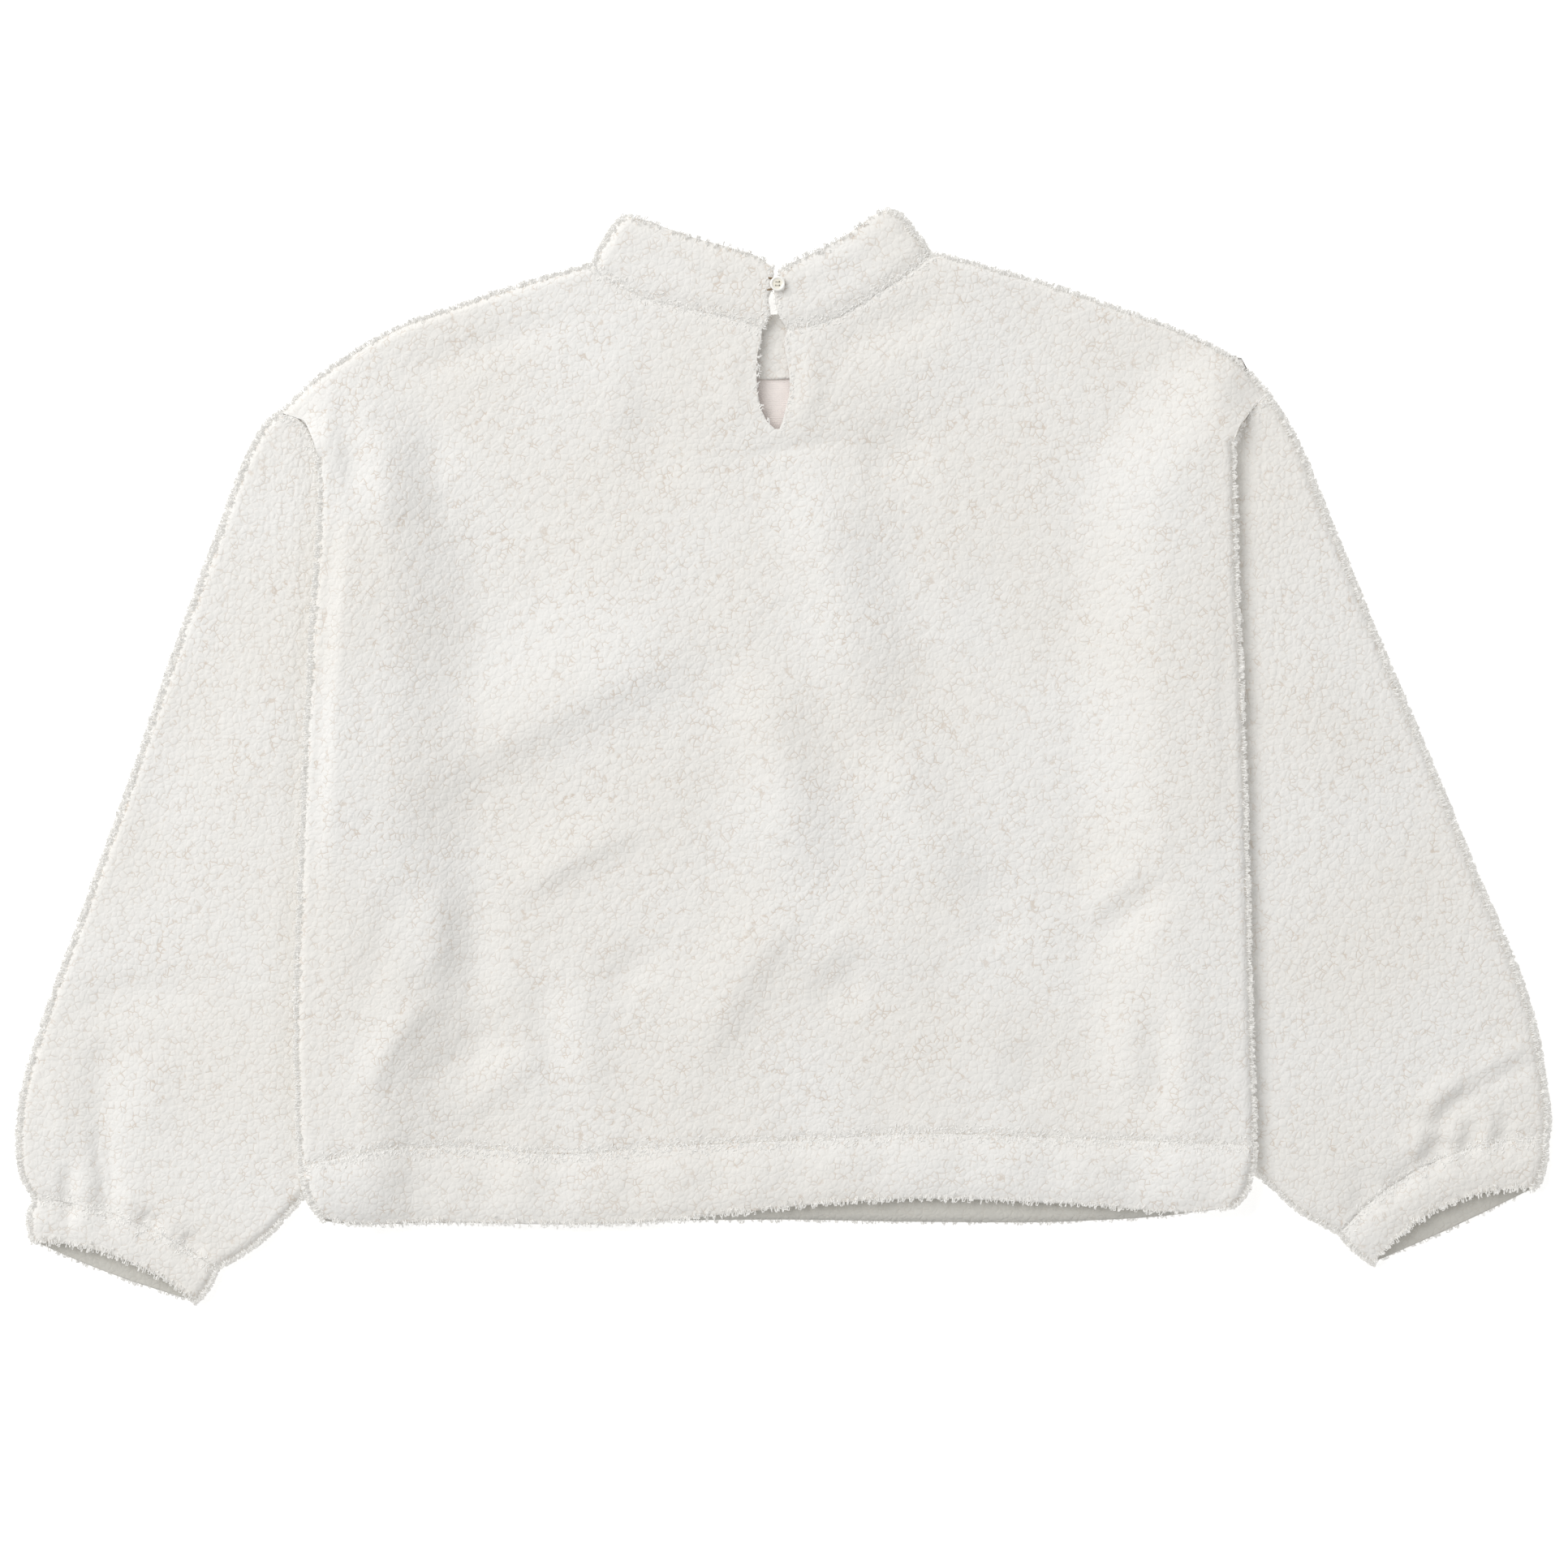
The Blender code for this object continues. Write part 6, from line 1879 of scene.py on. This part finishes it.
class PULLOVER_OT_stitches(bpy.types.Operator):
    """Sew the line of stitches above the hem band"""
    bl_idname = "pullover.stitches"
    bl_label = "Stitches"

    def execute(self, context):
        def height(x, y):
            """The level of a stitch's middle, sunk into the back panel's face."""
            return back_face(x, y, edge_distance(x, y))[0] - SEAM_SINK - STITCH_SUNK

        inside_ends = [Point(p.x, p.y + STITCH_LINE_UP) for p in HEM_SEAM[1:-1]]
        shape = scaled(seam_stitches(inside_ends, height))
        attach(new_piece("hem_stitches", *shape, [finish_named("cream thread")]))
        return {"FINISHED"}


def turned(profile, centre, sides):
    """Points and triangles of a turned piece from its radius and height at each profile place."""
    profile = np.array(profile, float)
    angle = 2 * math.pi * np.arange(sides) / sides
    x = centre[0] + profile[:, :1] * np.cos(angle)
    y = centre[1] + profile[:, :1] * np.sin(angle)
    points = np.stack([x, y, np.broadcast_to(profile[:, 1:], x.shape)], axis=-1).reshape(-1, 3)
    ids = np.arange(len(points)).reshape(len(profile), sides)
    ids = np.concatenate([ids, ids[:, :1]], axis=1)
    faces = quads(ids)
    for row, level in ((ids[0], profile[0, 1]), (ids[-1], profile[-1, 1])):
        points = np.concatenate([points, [[*centre, level]]])
        hub = np.full(sides, len(points) - 1)
        ring = [row[:-1], row[1:]] if row is ids[-1] else [row[1:], row[:-1]]
        faces.append(np.stack([*ring, hub], axis=1))
    return points, np.concatenate(faces)


def joined(*parts):
    """Several sets of points and triangles as one."""
    starts = np.cumsum([0] + [len(points) for points, _ in parts])
    return (
        np.concatenate([points for points, _ in parts]),
        np.concatenate([faces + start for (_, faces), start in zip(parts, starts)]),
    )


def single_tube(places, radius, sides):
    """One tube along a list of places."""
    paths = np.array(places, float)[None]
    return tubes(paths, np.full(paths.shape[:2], radius), np.array([[0.0, 0.0, 1.0]]), sides)


def button_disc(under):
    """The button: a turned disc with a dish and four drilled holes, from its underside's height."""
    stops = np.linspace(0, 1, 40)
    profile = smooth_curve([(r * BUTTON_RADIUS, under + h) for r, h in BUTTON_PROFILE], stops)
    finish = finish_named("button plastic")
    disc = new_piece("button_disc", *scaled(turned(profile, BUTTON_AT, 64)), [finish])
    ends = [(BUTTON_HOLE, under - DRILL_PAST), (BUTTON_HOLE, under + BUTTON_THICK + DRILL_PAST)]
    for x in (-BUTTON_HOLE_PITCH, BUTTON_HOLE_PITCH):
        for y in (-BUTTON_HOLE_PITCH, BUTTON_HOLE_PITCH):
            place = (BUTTON_AT.x + x, BUTTON_AT.y + y)
            cut_out(disc, new_piece("button_hole", *scaled(turned(ends, place, 20)), [finish]))
    disc.data.shade_smooth()
    disc.data.set_sharp_from_angle(angle=math.radians(40.0))
    attach(disc, "button")


def button_thread(under):
    """The thread through the button's holes, and its shank."""
    dish = under + BUTTON_THICK - BUTTON_DISH
    x = np.linspace(-1.0, 1.0, 9)
    z = np.where(np.abs(x) == 1.0, under - THREAD_BELOW, dish + THREAD_ARCH * np.sqrt(1 - x ** 2))
    threads = []
    for y in (-BUTTON_HOLE_PITCH, BUTTON_HOLE_PITCH):
        path = [BUTTON_AT.x + x * BUTTON_HOLE_PITCH, np.full(len(x), BUTTON_AT.y + y), z]
        threads.append(single_tube(np.column_stack(path), THREAD_RADIUS, 10))
    levels = np.linspace(COLLAR_TOP - SHANK_IN_COLLAR, under + SHANK_IN_BUTTON, 6)
    threads.append(single_tube([(*SHANK_AT, z) for z in levels], SHANK_RADIUS, 16))
    thread = new_piece("button_thread", *scaled(joined(*threads)), [finish_named("cream thread")])
    attach(thread)


def loop_cord():
    """The loop round the shank, whose ends dip into the collar."""
    level = COLLAR_TOP + SEAM_GAP + LOOP_RADIUS
    places = smooth_curve(LOOP_PATH, np.linspace(0.0, 1.0, LOOP_PLACES))
    dip = np.zeros(LOOP_PLACES)
    dip[:LOOP_END_PLACES] = np.linspace(-LOOP_END_DIP, 0.0, LOOP_END_PLACES)
    dip[-LOOP_END_PLACES:] = np.linspace(0.0, -LOOP_END_DIP, LOOP_END_PLACES)
    shape = scaled(single_tube(np.column_stack([places, level + dip]), LOOP_RADIUS, 12))
    cord = new_piece("button_loop_cord", *shape, [finish_named("tan thread")])
    attach(cord, "button_loop")


class PULLOVER_OT_button(bpy.types.Operator):
    """Build the button with its thread, and the loop round it"""
    bl_idname = "pullover.button"
    bl_label = "Button and loop"

    def execute(self, context):
        under = COLLAR_TOP + 2 * SEAM_GAP + 2 * LOOP_RADIUS
        button_disc(under)
        button_thread(under)
        loop_cord()
        return {"FINISHED"}


def scaled(shape):
    """A shape's points in metres, with its triangles."""
    points, faces = shape
    return points * MM, faces


def add_floor(scene):
    """A wide, plain floor."""
    mesh = bpy.data.meshes.new("floor")
    signs = ((-1, -1), (1, -1), (1, 1), (-1, 1))
    corners = [(x * FLOOR_HALF, y * FLOOR_HALF, FLOOR_LEVEL) for x, y in signs]
    mesh.from_pydata(corners, [], [(0, 1, 2, 3)])
    mesh.materials.append(finish_named("floor"))
    floor = bpy.data.objects.new("floor", mesh)
    scene.collection.objects.link(floor)


def add_light(scene, look):
    """Even light from all round, and a large soft lamp at the upper left."""
    scene.world = bpy.data.worlds.new("studio")
    scene.world.use_nodes = True
    sky = scene.world.node_tree.nodes["Background"]
    sky.inputs["Color"].default_value = (1.0, 1.0, 1.0, 1.0)
    sky.inputs["Strength"].default_value = look.ambient
    lamp = bpy.data.lights.new("key", "AREA")
    lamp.energy = look.key_power
    lamp.size = KEY_SIZE
    key = bpy.data.objects.new("key", lamp)
    key.location = KEY_AT
    key.rotation_euler = (-key.location).to_track_quat("-Z", "Y").to_euler()
    scene.collection.objects.link(key)


def add_camera(scene, look):
    """A camera that looks straight down, with the stated width in view on the garment."""
    view = bpy.data.cameras.new("camera")
    view.lens = view.sensor_width * look.camera_height / look.view_width
    camera = bpy.data.objects.new("camera", view)
    camera.location = (VIEW_AT.x * MM, VIEW_AT.y * MM, look.camera_height + VIEW_LEVEL * MM)
    scene.collection.objects.link(camera)
    scene.camera = camera
    scene.view_settings.view_transform = "Standard"


class PULLOVER_OT_stage(bpy.types.Operator):
    """Set the floor, the light and the camera straight above the garment"""
    bl_idname = "pullover.stage"
    bl_label = "Stage"

    def execute(self, context):
        look = context.scene.pullover_stage
        add_floor(context.scene)
        add_light(context.scene, look)
        add_camera(context.scene, look)
        return {"FINISHED"}


GROUPS = {
    "pullover_pile": PULLOVER_PG_pile, "pullover_button": PULLOVER_PG_button,
    "pullover_stage": PULLOVER_PG_stage,
}
OPERATORS = (
    PULLOVER_OT_panels, PULLOVER_OT_sleeves, PULLOVER_OT_cuffs, PULLOVER_OT_hem_band,
    PULLOVER_OT_collar, PULLOVER_OT_curls, PULLOVER_OT_stitches, PULLOVER_OT_button, PULLOVER_OT_stage,
)


class PULLOVER_PT_parts(bpy.types.Panel):
    """The pullover's settings and the steps that build it"""
    bl_idname = "PULLOVER_PT_parts"
    bl_label = "Pile pullover"
    bl_space_type = "VIEW_3D"
    bl_region_type = "UI"
    bl_category = "Pullover"

    def draw(self, context):
        for name, group in GROUPS.items():
            box = self.layout.box()
            settings = getattr(context.scene, name)
            for key in group.__annotations__:
                box.prop(settings, key)
        for operator in OPERATORS:
            self.layout.operator(operator.bl_idname)


def register():
    """Adds the settings, the steps and the panel to Blender."""
    for item in (*GROUPS.values(), *OPERATORS, PULLOVER_PT_parts):
        bpy.utils.register_class(item)
    for name, group in GROUPS.items():
        setattr(bpy.types.Scene, name, PointerProperty(type=group))


def unregister():
    """Takes away what register added."""
    for name in GROUPS:
        delattr(bpy.types.Scene, name)
    for item in (PULLOVER_PT_parts, *OPERATORS[::-1], *list(GROUPS.values())[::-1]):
        bpy.utils.unregister_class(item)


def main():
    """Builds the pullover step by step."""
    register()
    for operator in OPERATORS:
        area, name = operator.bl_idname.split(".")
        getattr(getattr(bpy.ops, area), name)()


if __name__ == "__main__":
    main()
